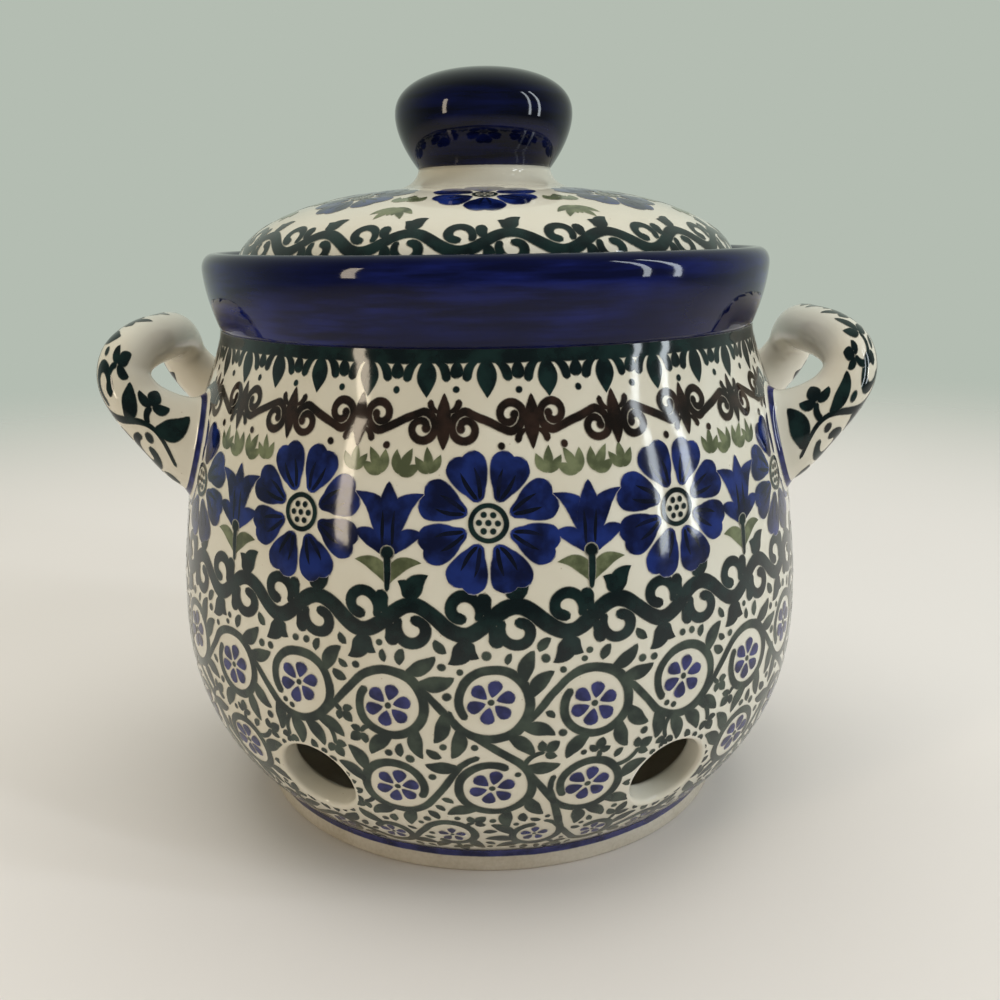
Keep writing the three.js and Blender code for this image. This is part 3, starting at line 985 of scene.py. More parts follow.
class Drawing:
    # Brush strokes of one paint, as strips whose thin margins lie lower than any stroke's core
    def __init__(self, soft=True):
        self.verts, self.faces, self.edges = [], [], []
        self.marks = np.empty((0, 3))
        self.count = 0
        self.soft = soft

    def addRows(self, rows, edges, marks):
        start, across = len(self.verts), rows.shape[1]
        core = self.count % paintStack["strokes"] * paintStack["stroke"]
        self.count += 1
        for i, (row, rowEdges) in enumerate(zip(rows, edges)):
            height = core + paintStack["stroke"] * paintStack["climb"] * i / len(rows)
            for (u, s), edge in zip(row, rowEdges):
                self.verts.append((u, s, height - paintStack["drop"] * (1 - edge)))
                self.edges.append(edge if self.soft else 1.0)
        for i in range(len(rows) - 1):
            for first in range(start + i * across, start + (i + 1) * across - 1):
                self.faces.append((first, first + 1, first + across + 1, first + across))
        self.marks = np.vstack([self.marks, marks])

    def stroke(self, line, width, start=1.0, end=1.0, belly=0.5):
        # Full width at the belly; start and end give the width there as a share, rounded off
        line = evenLine(np.array(line, float), paintStack["gap"])
        run = lengthsAlong(line)
        share = run / run[-1]
        rise = np.sin(np.clip(share / belly, 0, 1) * quarterTurn)
        fall = np.sin(np.clip((1 - share) / (1 - belly), 0, 1) * quarterTurn)
        half = width / 2 * between(start, 1, rise) * between(end, 1, fall)
        for reach, away in ((width / 2 * start, run), (width / 2 * end, run[-1] - run)):
            if reach > 0:
                cut = np.clip(1 - away / reach, 0, paintStack["round"])
                half = half * np.sqrt(np.clip(1 - cut ** 2, 0, 1))
        along = unitRows(np.gradient(line, axis=0))
        left = np.stack([-along[:, 1], along[:, 0]], 1)
        inner = half - np.minimum(paintStack["margin"], half * paintStack["marginShare"])
        cores = 2 + int(width / paintStack["column"])
        offsets = [half, *(inner * share for share in np.linspace(1, -1, cores)), -half]
        rows = np.stack([line + left * offset[:, None] for offset in offsets], 1)
        edges = np.ones(rows.shape[:2])
        edges[:, 0] = edges[:, -1] = 0
        edges[0] = edges[-1] = 0
        self.addRows(rows, edges, np.column_stack([line, half]))

    def dot(self, centre, radius):
        circle = onCircle(np.linspace(0, -fullTurn, counts["dot"]))
        rows = np.stack([np.array(centre) + circle * radius * share for share in dotShares], 1)
        self.addRows(rows, np.array([[0, 1, 1]] * len(rows)), [(*centre, radius)])

    def touch(self, base, turn, length, width, bend, *form):
        self.stroke(bentLine(base, np.array(base) + length * heading(turn), bend), width, *form)

    def leaf(self, base, turn, length, width, bend=0.0, end=0.0):
        self.touch(base, turn, length, width, bend, leafForm[0], end, leafForm[1])

    def drop(self, base, turn, length, width, bend=0.0):
        self.touch(base, turn, length, width, bend, *dropForm)

    def ring(self, centre, radius, width, overlap=0.3):
        turns = np.linspace(-overlap, fullTurn + overlap, counts["ring"])
        self.stroke(np.array(centre) + radius * onCircle(turns), width)

    def fan(self, base, turn, length, width, count=3, spread=0.62, shorter=0.16, bend=0.05):
        for k in range(count):
            off = k - (count - 1) / 2
            self.leaf(base, turn + off * spread, length * (1 - shorter * abs(off)), width, bend * off)

    def block(self, centre, radius):
        self.marks = np.vstack([self.marks, (*centre, radius)])

    def sheet(self, name, spread=None):
        # spread widens the drawing along u where the form is narrower than its girth
        verts = np.array(self.verts)
        if spread is not None:
            verts[:, 0] *= spread(verts[:, 1])
        thing = meshObject(name, verts * mm, self.faces)
        thing.data.attributes.new("edge", "FLOAT", "POINT").data.foreach_set("value", self.edges)
        return thing


def finishPaint(piece, body, paint):
    # Shades the paint with the normals of the glaze under it
    mesh = piece.data
    normals = np.empty(len(mesh.vertices) * 3, np.float32)
    mesh.attributes["glazeNormal"].data.foreach_get("vector", normals)
    mesh.normals_split_custom_set_from_vertices(normals.reshape(-1, 3))
    dropNormals(piece)
    blue = paint in ("cobaltPaint", "navyPaint", "violetPaint")
    finishPiece(piece, body, "cobalt_glaze" if blue else "cream_glaze")


def liftOf(layer):
    return (paintStack["lift"] + layer * paintStack["layer"]) * mm


def lay(name, drawing, paint, repeats, layer, surface, clearVents=False):
    piece = runTree(drawing.sheet(name, surface.get("spread")), paintRound, {
        "Repeats": repeats, "Shake": surface["shake"] * mm, "Seed": paintStack["seed"],
        "Profile": surface["profile"], "Girth": surface["girth"] * mm, "Lift": liftOf(layer),
        "Vent Clear": (jarShape["ventRadius"] + jarShape["ventEdge"]) * mm if clearVents else 0.0,
        "Paint": paints[paint]})
    finishPaint(piece, surface["body"], paint)


jarSurface = {"profile": wallProfile, "girth": girth, "body": "jar", "shake": 0.75}


# Band under the collar: long and short drops hanging from a line

dropBand = {
    "repeats": 36, "line": 2.6, "lineDrop": 0.9, "overlap": 1.6,
    "long": 6.5, "longWidth": 3.7, "longDrop": 1.2, "short": 3.2, "shortWidth": 2.7, "shortDrop": 1.4,
    "side": 4.4, "sideWidth": 1.9, "sideDrop": 1.6, "sideOut": 0.9, "sideTurn": 0.66, "sideBend": 0.22,
    "dot": 0.65, "dotDrop": 3.1,
}


def dropLace():
    band = dropBand
    half = girth / band["repeats"] / 2
    top = wallRun[-1]
    green = Drawing()
    ends = half + band["overlap"]
    green.stroke([(-ends, top - band["lineDrop"]), (ends, top - band["lineDrop"])], band["line"])
    green.leaf((0, top - band["longDrop"]), down, band["long"], band["longWidth"])
    for side in (-1, 1):
        green.drop((side * band["sideOut"], top - band["sideDrop"]), down + side * band["sideTurn"],
                   band["side"], band["sideWidth"], side * band["sideBend"])
    green.drop((half, top - band["shortDrop"]), down, band["short"], band["shortWidth"])
    green.dot((half, top - band["short"] - band["dotDrop"]), band["dot"])
    lay("paint_lace_green", green, "deepGreenPaint", band["repeats"], 1, jarSurface)


# Band of brown S-scrolls with a spindle between each two

scrollBand = {
    "repeats": 13, "middle": 86.9, "reach": 3.75, "offset": 1.1, "radius": 2.7, "inner": 0.85, "turns": 1.25,
    "line": 1.55, "lineEnds": 0.9, "spindle": 9.0, "spindleWidth": 2.9, "spindleEnds": 0.1, "bead": 0.85,
    # a pair of drops beside each spindle, and a small bead under each scroll
    "dropOut": 0.4, "dropDown": 1.4, "dropTurn": 0.8, "drop": 3.0, "dropWidth": 1.3, "dropBend": 0.25,
    "smallOut": 2.2, "smallDown": 3.9, "smallShare": 0.8,
}


def scrollChain():
    band = scrollBand
    pitch = girth / band["repeats"] / 2
    brown = Drawing()
    left = spiral((-band["reach"], -band["offset"]), band["radius"], band["inner"], up, band["turns"])
    scroll = np.vstack([left[::-1], -left])
    for place, hand in ((0, 1), (pitch, -1)):
        line = scroll * (hand, 1) + (place, band["middle"])
        brown.stroke(line, band["line"], band["lineEnds"], band["lineEnds"])
        for end in (line[0], line[-1]):
            brown.dot(end, band["bead"])
        x = place + pitch / 2
        ends = [(x, band["middle"] + side * band["spindle"] / 2) for side in (-1, 1)]
        brown.stroke(ends, band["spindleWidth"], band["spindleEnds"], band["spindleEnds"])
        for side in (-1, 1):
            brown.drop((x + side * band["dropOut"], band["middle"] - hand * band["dropDown"]),
                       -hand * up + side * hand * band["dropTurn"], band["drop"], band["dropWidth"],
                       side * hand * band["dropBend"])
        brown.dot((place + hand * band["smallOut"], band["middle"] - band["smallDown"]),
                  band["bead"] * band["smallShare"])
    lay("paint_scrolls_brown", brown, "brownPaint", band["repeats"], 2, jarSurface)


# Blue rosettes, with tulips between them on the jar and fans on the lid

flowerBand = {
    "repeats": 12, "middle": 71.0, "layers": (3, 5, 6, 1), "petals": 8, "inside": 3.6, "outside": 11.7,
    "lobeWidth": 4.6, "lobeTurn": 0.15, "heart": 2.8, "heartLine": 0.9, "seed": 0.55, "vein": 0.7,
}
tulipShape = {
    # a petal or leaf: across and up from the tulip's foot, turn, length, width, bend and end
    "foot": 5.4, "petal": (0, 0, 0, 11.6, 4.7, 0, 0.1),
    "lobes": ((0.7, 0.3, 0.5, 10.904, 4.2, 0.22), (0.9, 0, 1.02, 6.38, 2.9, 0.2)),
    "veinFrom": (0.8, 1.4), "veinTo": (1.0, 7.0), "vein": (0.6, 0.6, 0.1),
    "leaf": (0, -4.8, 1.0, 6.8, 2.6, 0.22), "stem": (-6.0, 0.9), "stemLine": (1.3, 0.5, 1.0),
    "knot": 1.25, "knotUp": 0.3,
    # fans of three leaves over the flowers: across, up from the flowers' middle, turn, length, width
    "fans": ((1.5, 7.4, -0.5, 4.8, 1.9), (6.6, 7.6, 0.1, 4.4, 1.7)),
}
petalShape = {
    # two lobes to a petal, with a vein in each; shares are of the rosette's inside and outside radius
    "knee": 1.6, "kneeTurn": 0.03, "form": (0.3, 0.72, 0.66), "veinFrom": 1.15, "veinTo": 0.76,
    "veinTurns": (0.05, 0.13), "veinBend": 0.05, "veinForm": (0.8, 0.1), "seeds": 6, "seedShare": 0.53,
}
flowerPaints = {"blue": "cobaltPaint", "navy": "navyPaint", "green": "deepGreenPaint", "olive": "olivePaint"}


def rosette(drawings, look):
    blue, navy, green = drawings[:3]
    petal = petalShape
    centre = np.array([0, look["middle"]])

    def at(radius, turn):
        return centre + radius * heading(turn)

    for k in range(look["petals"]):
        turn = (k + 0.5) * fullTurn / look["petals"]
        for side in (-1, 1):
            knee = at(look["inside"] * petal["knee"], turn + side * petal["kneeTurn"])
            tip = at(look["outside"], turn + side * look["lobeTurn"])
            blue.stroke([at(look["inside"], turn), knee, tip], look["lobeWidth"], *petal["form"])
            first, last = (turn + side * lean for lean in petal["veinTurns"])
            vein = bentLine(at(look["inside"] * petal["veinFrom"], first),
                            at(look["outside"] * petal["veinTo"], last), petal["veinBend"] * side)
            navy.stroke(vein, look["vein"], *petal["veinForm"])
    green.ring(centre, look["heart"], look["heartLine"])
    green.dot(centre, look["seed"])
    for k in range(petal["seeds"]):
        green.dot(at(look["heart"] * petal["seedShare"], k * fullTurn / petal["seeds"]), look["seed"])


def layFlowers(name, drawings, look, surface):
    for (colour, paint), drawing, layer in zip(flowerPaints.items(), drawings, look["layers"]):
        lay(f"paint_{name}_{colour}", drawing, paint, look["repeats"], layer, surface)


def flowers():
    tulip, middle = tulipShape, flowerBand["middle"]
    drawings = blue, navy, green, olive = Drawing(), Drawing(False), Drawing(), Drawing()
    rosette(drawings, flowerBand)
    x = girth / flowerBand["repeats"] / 2
    foot = middle - tulip["foot"]

    def petal(drawing, side, across, rise, lean, length, width, bend, end=0.0):
        drawing.leaf((x + side * across, foot + rise), up - side * lean, length, width, side * bend, end)

    petal(blue, 1, *tulip["petal"])
    for side in (-1, 1):
        for lobe in tulip["lobes"]:
            petal(blue, side, *lobe)
        ends = [(x + side * across, foot + rise) for across, rise in (tulip["veinFrom"], tulip["veinTo"])]
        navy.stroke(bentLine(*ends, 0), *tulip["vein"])
        petal(olive, side, *tulip["leaf"])
        for across, rise, lean, length, width in tulip["fans"]:
            olive.fan((x + side * across, middle + rise), up + side * lean, length, width)
    green.stroke([(x, foot + rise) for rise in tulip["stem"]], *tulip["stemLine"])
    green.dot((x, foot + tulip["knotUp"]), tulip["knot"])
    layFlowers("flowers", drawings, flowerBand, jarSurface)


# Garlands of running scrolls, under the flowers and near the lid's edge

garland = {"repeats": 24, "middle": 55.4, "swing": 2.3, "line": 2.7, "radius": 3.0, "inner": 1.15,
           "turns": 1.05, "curlLine": 2.0, "leaf": 5.6, "leafWidth": 3.3}
runningShape = {
    # shares of a tile's pitch, of the wave's swing and of the leaf's size; turns are from straight out
    "overlap": 1.4, "curlPlace": 0.27, "curlSwing": 0.75, "curlTurn": 0.9, "curlShare": 0.9, "curlStart": 0.7,
    "crest": 0.25,
    "leaves": ((-0.5, 1, 1, 0.2), (0.55, 0.8, 0.9, -0.2)),
    "dropPlace": 0.06, "dropOut": 0.4, "dropTurn": 0.35, "drop": (0.78, 0.75, 0.25),
}


def runningScroll(green, pitch, look):
    # One crest and one trough of a wave, with a curl inside each and leaves at the joints
    run, middle = runningShape, look["middle"]
    end = pitch / 2 + run["overlap"]
    span = np.linspace(-end, end, counts["wave"])
    green.stroke(np.stack([span, middle + look["swing"] * np.sin(span / pitch * fullTurn)], 1), look["line"])
    for side in (-1, 1):
        centre = (side * pitch * run["curlPlace"], middle - side * look["swing"] * run["curlSwing"])
        curl = spiral(centre, look["radius"], look["inner"], side * up + run["curlTurn"],
                      run["curlShare"] * look["turns"])
        green.stroke(curl, look["curlLine"], run["curlStart"], 1.0)
        crest = (side * pitch * run["crest"], middle + side * look["swing"])
        for turn, length, width, bend in run["leaves"]:
            green.leaf(crest, side * up + turn, look["leaf"] * length, look["leafWidth"] * width, bend)
        length, width, bend = run["drop"]
        base = (side * pitch * run["dropPlace"], middle + side * run["dropOut"])
        green.drop(base, side * up + run["dropTurn"], look["leaf"] * length, look["leafWidth"] * width, bend)


def flowerGarland():
    green = Drawing()
    runningScroll(green, girth / garland["repeats"], garland)
    lay("paint_garland_green", green, "deepGreenPaint", garland["repeats"], 2, jarSurface)
    return green.marks


# Scrolling vine low on the jar, round the vents

vine = {
    # a tile is as wide as the space from vent to vent
    "low": 3.2, "high": 53.0, "stem": 1.7, "stemEnds": (0.6, 0.9), "bloom": 3.9, "bloomWidth": 2.4,
    # scrolls: share of the tile along, height, radius, hand, which one it grows from
    "scrolls": [(0.0, 41.8, 6.9, 1, 3), (0.25, 40.4, 6.6, -1, 0), (0.5, 41.8, 6.9, 1, 1),
                (0.75, 40.4, 6.6, -1, 2), (0.0, 25.2, 6.9, -1, 0), (0.245, 24.4, 6.4, 1, 4),
                (0.755, 24.4, 6.4, -1, 4), (0.12, 10.4, 5.2, -1, 5), (0.31, 8.6, 4.4, 1, 7),
                (0.5, 6.6, 3.7, -1, 8), (0.69, 8.6, 4.4, 1, 9), (0.88, 10.4, 5.2, -1, 10)],
    # wide scrolls and narrow ones: turns they wind, petals of the flower inside, and its size
    "wideFrom": 6, "wide": (1.0, 6, 1.0), "narrow": (0.8, 5, 0.72),
    "lead": (0.75, 0.5, 0.25), "insideStems": 0.95, "insideShare": 0.7, "gap": 0.5,
    "petalTurn": 0.3, "petalFrom": 0.85, "heart": 0.6, "bloomAir": 0.2, "ventOverlap": 0.4,
}
foliage = {
    # leaves along the stems, and sprays on stalks where there is more room
    "leaf": 4.6, "leafWidth": 2.5, "gap": 0.9, "air": 0.3,
    "sprayRoom": 1.75, "stalk": 1.0, "sprayLeaf": 3.9, "sprayWidth": 2.2, "sprigRoom": 1.15, "dotRoom": 0.85,
    "grid": 0.7,
}
leafShape = {
    # a leaf is tried at three sizes, and needs room at these shares of its length
    "leans": (0.75, 1.15), "sizes": (1.25, 1, 0.72), "shares": (0.5, 0.75, 1.02), "thin": 0.7,
    "base": 0.2, "bend": -0.12, "end": 0.15, "widthBelow": 0.55, "widthFalls": 0.3,
}
sprayShape = {
    # shares of the room about a spot; a spray's leaves are lean and size; a sprig is how far back it
    # starts, its length and its width
    "edge": 0.3, "knee": 0.35, "stalkBends": (-0.16, 0.16), "stalkEnd": 0.8, "reach": 1.3,
    "leaves": ((0, 1.0), (1.15, 0.8), (-1.15, 0.8)), "leafBend": 0.1, "leafEnd": 0.2,
    "sprig": (0.8, 1.7, 1.05), "sprigBend": 0.1, "sprigEnd": 0.3, "taken": 0.5,
}


def scrollKind(radius):
    return vine["wide"] if radius > vine["wideFrom"] else vine["narrow"]


def scrollFrom(parent, child):
    # A stem that leaves the parent's round, crosses over and winds inwards round the child's centre
    (centre, radius), (childCentre, childRadius, hand) = parent, child
    apart = childCentre - centre
    toward = math.atan2(apart[1], apart[0])
    lean = math.acos(min((radius + childRadius) / np.linalg.norm(apart), 1.0))
    leaving = toward + hand * lean
    lead = [centre + radius * heading(leaving + hand * turn) for turn in vine["lead"]]
    inside = min(vine["bloom"] + vine["stem"] * vine["insideStems"], childRadius * vine["insideShare"])
    turns = hand * scrollKind(childRadius)[0]
    winding = spiral(childCentre, childRadius, inside, toward + math.pi + hand * lean, turns, vine["gap"])
    return np.vstack([lead, winding])


def clearance(spots, marks, tile):
    # Room between each spot and the nearest thing drawn so far, round the seam too
    across = np.abs(spots[:, None, 0] - marks[None, :, 0]) % tile
    across = np.minimum(across, tile - across)
    return (np.hypot(across, spots[:, None, 1] - marks[None, :, 1]) - marks[None, :, 2]).min(1)


def growLeaves(green, stems, tile, low, high, look):
    # Leaves on both sides of the stems, wherever there is room for one
    form, shares = leafShape, np.array(leafShape["shares"])
    for line in stems:
        line = evenLine(line, look["gap"])
        for i in range(1, len(line) - 1):
            along = line[i + 1] - line[i - 1]
            course = math.atan2(along[1], along[0])
            for side in (-1, 1):
                turn = course + side * random.uniform(*form["leans"])
                for size in form["sizes"]:
                    length, width = look["leaf"] * size, look["leafWidth"] * between(form["thin"], 1, size)
                    spots = line[i] + heading(turn) * length * shares[:, None]
                    if spots[:, 1].min() < low or spots[:, 1].max() > high:
                        continue
                    need = look["air"] + width * (form["widthBelow"] - form["widthFalls"] * shares)
                    if (clearance(spots, green.marks, tile) > need).all():
                        green.leaf(line[i] + heading(turn) * form["base"], turn, length, width,
                                   side * form["bend"], form["end"])
                        break


def fillSprays(green, stems, tile, low, high, look, start, end):
    # Sprays of three leaves on stalks from the nearest stem, the roomiest place first, then sprigs and dots
    form = sprayShape
    spots = np.array([(u, s) for u in np.arange(start, end, look["grid"])
                      for s in np.arange(low + form["edge"], high, look["grid"])])
    stemPoints = np.vstack([evenLine(line, 1.0) for line in stems])
    room = clearance(spots, green.marks, tile)
    while room.max() > look["dotRoom"]:
        k = int(room.argmax())
        spot, space, before = spots[k], float(room[k]), len(green.marks)
        away = spot - stemPoints
        away[:, 0] = (away[:, 0] + tile / 2) % tile - tile / 2
        near = away[np.hypot(away[:, 0], away[:, 1]).argmin()]
        turn = math.atan2(near[1], near[0])
        forward = heading(turn)
        if space > look["sprayRoom"]:
            knee = spot - forward * space * form["knee"]
            stalk = bentLine(spot - near, knee, random.choice(form["stalkBends"]))
            green.stroke(stalk, look["stalk"], 1.0, form["stalkEnd"])
            length, width = min(look["sprayLeaf"], space * form["reach"]), min(look["sprayWidth"], space)
            for lean, size in form["leaves"]:
                green.leaf(knee, turn + lean, length * size, width * size, lean * form["leafBend"],
                           form["leafEnd"])
        elif space > look["sprigRoom"]:
            back, length, width = (share * space for share in form["sprig"])
            green.leaf(spot - forward * back, turn, length, width, form["sprigBend"], form["sprigEnd"])
        else:
            green.dot(spot, space - look["air"])
        green.block(spot, space * form["taken"])
        room = np.minimum(room, clearance(spots, green.marks[before:], tile))


def vineRound(garlandMarks):
    tile = ventPitch
    green, violet = Drawing(), Drawing()
    perTile = garland["repeats"] // jarShape["ventCount"]
    for k in range(perTile):
        for u, s, radius in garlandMarks:
            green.block((u + k * tile / perTile, s), radius)
    rounds = [(np.array([share * tile, s]), radius, hand)
              for share, s, radius, hand, parent in vine["scrolls"]]
    stems = []
    for child, entry in zip(rounds, vine["scrolls"]):
        parent, parentRadius = rounds[entry[4]][:2]
        shift = round((child[0][0] - parent[0]) / tile) * tile
        stems.append(scrollFrom((parent + (shift, 0), parentRadius), child))
    green.block((tile / 2, ventRun), jarShape["ventRadius"] - vine["ventOverlap"])
    for line in stems:
        green.stroke(line, vine["stem"], *vine["stemEnds"])
    for centre, radius, hand in rounds:
        count, size = scrollKind(radius)[1:]
        for k in range(count):
            turn = k * fullTurn / count + vine["petalTurn"]
            violet.drop(centre + vine["petalFrom"] * size * heading(turn), turn,
                        (vine["bloom"] - vine["petalFrom"]) * size, vine["bloomWidth"] * size)
        green.dot(centre, vine["heart"] * size)
        green.block(centre, vine["bloom"] * size + vine["bloomAir"])
    room = (tile, vine["low"], vine["high"], foliage)
    growLeaves(green, stems, *room)
    fillSprays(green, stems, *room, 0.0, tile)
    lay("paint_vine_green", green, "greyGreenPaint", jarShape["ventCount"], 1, jarSurface, True)
    lay("paint_vine_violet", violet, "violetPaint", jarShape["ventCount"], 3, jarSurface, True)


footLineShape = {"from": 3.3, "to": 5.6, "wallPart": 2.0, "repeats": 24, "overlap": 1.5, "shake": 0.25}


def footLine():
    shape = footLineShape
    above = wallLine[wallRun < shape["wallPart"]]
    profile = profileCurve([(footHigh.x, 0), (footHigh.x, footHigh.z), *above[1:]])
    line = Drawing()
    middle = (shape["from"] + shape["to"]) / 2
    line.stroke([(-shape["overlap"], middle), (girth / shape["repeats"] + shape["overlap"], middle)],
                shape["to"] - shape["from"])
    surface = {**jarSurface, "profile": profile, "shake": shape["shake"]}
    lay("paint_foot_line", line, "violetPaint", shape["repeats"], 1, surface)
    dropHelper(profile)


dropLace()
scrollChain()
flowers()
vineRound(flowerGarland())
footLine()
print("jar painted")


# The lid's paint: a garland near its edge, rosettes with olive fans round its crown

lidLine = np.array(domeOutline()[6:])
lidRun = lengthsAlong(lidLine)
lidShake = 0.4
lidGarland = {"repeats": 18, "middle": 7.2, "swing": 2.0, "line": 2.4, "radius": 2.6, "inner": 1.0,
              "turns": 1.05, "curlLine": 1.8, "leaf": 4.8, "leafWidth": 3.0}
lidFlower = {
    "repeats": 8, "middle": 25.5, "layers": (2, 4, 5, 1), "petals": 6, "inside": 2.5, "outside": 9.6,
    "lobeWidth": 5.0, "lobeTurn": 0.2, "heart": 1.9, "heartLine": 0.7, "seed": 0.4, "vein": 0.55,
    # fans between the rosettes: past half the pitch, up from their middle, facing, turn, length, width
    "fans": ((2.6, -7.4, down, 0.12, 4.8, 2.0), (-0.2, -4.4, up, 0.1, 4.6, 1.7)), "crownLeast": 12,
}


def lidRadiusAt(run):
    return np.interp(run, lidRun, lidLine[:, 0])


def paintLid():
    profile = profileCurve(lidLine)
    edge = {"profile": profile, "girth": fullTurn * float(lidRadiusAt(lidGarland["middle"])), "body": "lid",
            "shake": lidShake}
    green = Drawing()
    runningScroll(green, edge["girth"] / lidGarland["repeats"], lidGarland)
    lay("paint_lid_garland", green, "deepGreenPaint", lidGarland["repeats"], 1, edge)
    crownRadius = float(lidRadiusAt(lidFlower["middle"]))
    crown = {**edge, "girth": fullTurn * crownRadius,
             "spread": lambda run: crownRadius / np.maximum(lidRadiusAt(run), lidFlower["crownLeast"])}
    drawings = Drawing(), Drawing(False), Drawing(), Drawing()
    rosette(drawings, lidFlower)
    half = crown["girth"] / lidFlower["repeats"] / 2
    for side in (-1, 1):
        # drawn from both sides, so that they share the room
        for past, rise, facing, lean, length, width in lidFlower["fans"]:
            base = (side * (half + past), lidFlower["middle"] + rise)
            drawings[3].fan(base, facing - side * lean, length, width)
    layFlowers("lid", drawings, lidFlower, crown)
    dropHelper(profile)


# The handles' paint, laid on by the places kept on the bar

def barTree():
    tree, given, result = nodeTree("paintOnBar", [
        ("Bar", "NodeSocketObject", None), ("Lift", "NodeSocketFloat", 0.0),
        ("Paint", "NodeSocketMaterial", None)])
    bar = geometryOf(tree, given["Bar"])
    flat = splitXyz(tree, readPlace(tree))
    spot = joinXyz(tree, X=flat[0], Y=flat[1])
    barPlace = addNode(tree, "GeometryNodeInputNamedAttribute", {"data_type": "FLOAT_VECTOR"},
                       Name="barPlace").outputs[0]
    found = []
    for value in (readPlace(tree), addNode(tree, "GeometryNodeInputNormal").outputs[0]):
        node = addNode(tree, "GeometryNodeSampleUVSurface", {"data_type": "FLOAT_VECTOR"})
        wires = {"Mesh": bar, "Value": value, "UV Map": barPlace, "Source UV Map": barPlace,
                 "Sample UV": spot}
        for socket in node.inputs:
            if socket.enabled and socket.name in wires:
                tree.links.new(wires[socket.name], socket)
        found.append(next(s for s in node.outputs if s.enabled and s.name == "Value"))
    raised = raisedAlong(tree, *found, maths(tree, "ADD", flat[2], given["Lift"]))
    return finishTree(tree, setOnGlaze(tree, given["Geometry"], raised, found[1]), given["Paint"], result)


paintOnBar = barTree()
barFoliage = {"leaf": 5.4, "leafWidth": 3.2, "gap": 1.2, "air": 0.4, "sprayRoom": 2.2, "stalk": 1.2,
              "sprayLeaf": 5.0, "sprayWidth": 2.8, "sprigRoom": 1.4, "dotRoom": 1.15, "grid": 0.8}
barPaint = {
    # across the bar 0 is its outer side and positive is up; its top and inner side stay bare
    "from": 4.5, "lowest": -12.0, "highest": 4.5, "middle": -3.5, "swing": 3.4, "waves": 3.5, "line": 2.2,
    "lineEnds": 0.3, "curl": 3.1, "curlInner": 1.1, "curlAlong": 0.4, "curlTurn": 0.6, "curlTurns": 0.95,
    "curlLine": 1.9, "curlStart": 0.6, "rootLine": 1.0, "rootLineAt": 1.6, "rootLineShort": 0.05,
}


def paintHandle(bar):
    look = barPaint
    places = np.empty(len(bar.data.loops) * 2, np.float32)
    bar.data.uv_layers["barPlace"].data.foreach_get("uv", places)
    length = float(places[0::2].max()) / mm
    last = length - look["from"]
    green, line = Drawing(), Drawing()
    run = np.linspace(look["from"], last, counts["stem"])
    phase = (run - look["from"]) / (length - 2 * look["from"]) * look["waves"] * fullTurn
    stem = np.stack([run, look["middle"] + look["swing"] * np.sin(phase)], 1)
    green.stroke(stem, look["line"], look["lineEnds"], look["lineEnds"])
    # A curl inside each crest, then leaves and sprays in what room is left
    crests = int(look["waves"] * 2)
    curls = []
    for k in range(crests):
        side = (-1) ** k
        along = between(look["from"], last, (k + 0.5) / crests) + look["curlAlong"]
        across = look["middle"] + look["swing"] * side - side * (look["curl"] + look["line"])
        curls.append(spiral((along, across), look["curl"], look["curlInner"], side * up + look["curlTurn"],
                            side * look["curlTurns"]))
        green.stroke(curls[-1], look["curlLine"], look["curlStart"], 1.0)
    half = handleShape["barRound"] / 2 - look["rootLineShort"]
    roots = (look["rootLineAt"], length - look["rootLineAt"])
    for across in np.arange(look["lowest"], look["highest"], 1.0):
        for place in roots:
            green.block((place, across), look["rootLine"])
    room = (2 * length, look["lowest"], look["highest"], barFoliage)
    growLeaves(green, [stem], *room)
    fillSprays(green, [stem, *curls], *room, look["from"], last)
    for place in roots:
        line.stroke([(place, -half), (place, half)], look["rootLine"])
    layers = ((green, "green", "deepGreenPaint", 1), (line, "line", "violetPaint", 2))
    for drawing, colour, paint, layer in layers:
        piece = runTree(drawing.sheet(bar.name.replace("_glazed", "_") + colour), paintOnBar,
                        {"Bar": bar, "Lift": liftOf(layer), "Paint": paints[paint]})
        finishPaint(piece, "jar", paint)


paintLid()
for bar in handles():
    paintHandle(bar)
print("lid and handles painted")


# Camera, floor and light

viewShape = {"distance": 208.5, "height": 114.85, "tiltDown": 15.22, "roll": 0.75,
             "lens": 35.38, "sensor": 36, "sideShift": 0.0113, "clipStart": 0.01}


def setCamera():
    view, scene = viewShape, bpy.context.scene
    data = bpy.data.cameras.new("camera")
    data.lens = view["lens"]
    data.sensor_width = view["sensor"]
    data.shift_x = view["sideShift"]
    data.clip_start = view["clipStart"]
    camera = addObject("camera", data)
    camera.matrix_world = (Matrix.Translation((0, -view["distance"] * mm, view["height"] * mm))
                           @ Matrix.Rotation(math.radians(90 - view["tiltDown"]), 4, "X")
                           @ Matrix.Rotation(math.radians(-view["roll"]), 4, "Z"))
    scene.camera = camera
    scene.view_settings.view_transform = "Standard"


studio = {
    # colours as seen; sizes and places in metres; azimuths in degrees from the front, right is positive
    "floorColour": (232, 225, 221), "floorRoughness": 0.8, "floorReach": 3.0, "floorFade": (0.22, 0.7),
    "backColour": (180, 189, 178), "frontColour": (110, 115, 109), "roomFade": (-0.5, 0.5),
    "windowDistance": 0.8, "windowGlow": 15.0,
    "windows": {
        # azimuth, width, lowest and highest point, colour
        "windowLeft": (-50, 0.07, 0.04, 0.5, (255, 238, 212)),
        "windowRight": (60, 0.045, 0.0, 0.9, (240, 249, 255)),
        "windowFarRight": (74, 0.05, 0.0, 0.9, (240, 249, 255)),
    },
    "skyPlace": (0, 0.1, 1.2), "skySize": (1.3, 1.3), "skyWatts": 10, "skyColour": (255, 252, 248),
}


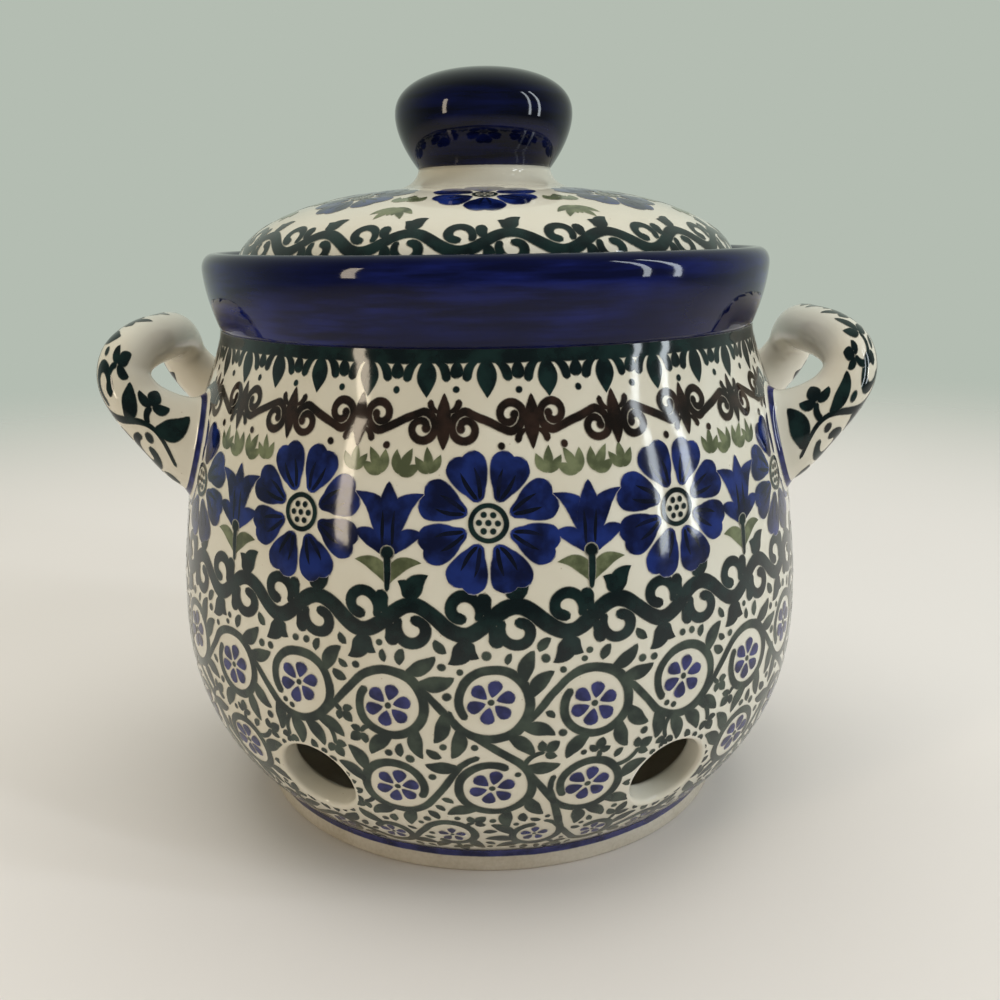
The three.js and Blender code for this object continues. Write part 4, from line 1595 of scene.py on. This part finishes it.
def floorMaterial():
    # Near the pot a plain pale surface that takes its shadow; further off it fades into the background
    material = bpy.data.materials.new("paleFloor")
    material.use_nodes = True
    tree = material.node_tree
    shader = tree.nodes["Principled BSDF"]
    shader.inputs["Base Color"].default_value = linearColour(studio["floorColour"])
    shader.inputs["Roughness"].default_value = studio["floorRoughness"]
    clear = addNode(tree, "ShaderNodeBsdfTransparent").outputs[0]
    away = addNode(tree, "ShaderNodeVectorMath", {"operation": "LENGTH"}, in_0=objectPlace(tree))
    path = addNode(tree, "ShaderNodeLightPath").outputs
    seen = maths(tree, "MAXIMUM", path["Is Camera Ray"],
                 maths(tree, "MAXIMUM", path["Is Glossy Ray"], path["Is Transmission Ray"]))
    faded = product(tree, fadeBetween(tree, away.outputs["Value"], studio["floorFade"]), seen)
    mixed = addNode(tree, "ShaderNodeMixShader", in_0=faded, in_1=shader.outputs[0], in_2=clear)
    tree.links.new(mixed.outputs[0], tree.nodes["Material Output"].inputs["Surface"])
    return material


def setFloor():
    reach = studio["floorReach"]
    corners = [(x * reach, y * reach, 0) for x, y in ((-1, -1), (1, -1), (1, 1), (-1, 1))]
    floor = meshObject("floor", corners, [(0, 1, 2, 3)])
    floor.data.materials.append(floorMaterial())


def softBox(name, place, size, watts, aim, colour):
    data = bpy.data.lights.new(name, "AREA")
    data.shape = "RECTANGLE"
    data.size, data.size_y = size
    data.energy = watts
    data.color = linearColour(colour)[:3]
    lamp = addObject(name, data)
    lamp.location = place
    lamp.rotation_euler = (Vector(aim) - Vector(place)).to_track_quat("-Z", "Y").to_euler()
    return lamp


def setLight():
    # A pale room behind the pot and a dimmer one in front, so that the dark glaze reads dark
    world = bpy.data.worlds.new("world")
    world.use_nodes = True
    bpy.context.scene.world = world
    tree = world.node_tree
    depth = splitXyz(tree, addNode(tree, "ShaderNodeTexCoord").outputs["Generated"])[1]
    room = mixColour(tree, fadeBetween(tree, depth, studio["roomFade"]), studio["frontColour"],
                     studio["backColour"])
    tree.links.new(room, tree.nodes["Background"].inputs["Color"])
    tree.nodes["Background"].inputs["Strength"].default_value = 1.0
    for name, (azimuth, width, low, high, colour) in studio["windows"].items():
        x, y = studio["windowDistance"] * heading(math.radians(azimuth) - quarterTurn)
        middle = (low + high) / 2
        watts = studio["windowGlow"] * math.pi * width * (high - low)
        softBox(name, (x, y, middle), (width, high - low), watts, (0, 0, middle), colour)
    sky = softBox("skyLight", studio["skyPlace"], studio["skySize"], studio["skyWatts"], (0, 0, 0),
                  studio["skyColour"])
    sky.visible_glossy = False


setCamera()
setFloor()
setLight()

dropHelper(wallProfile)
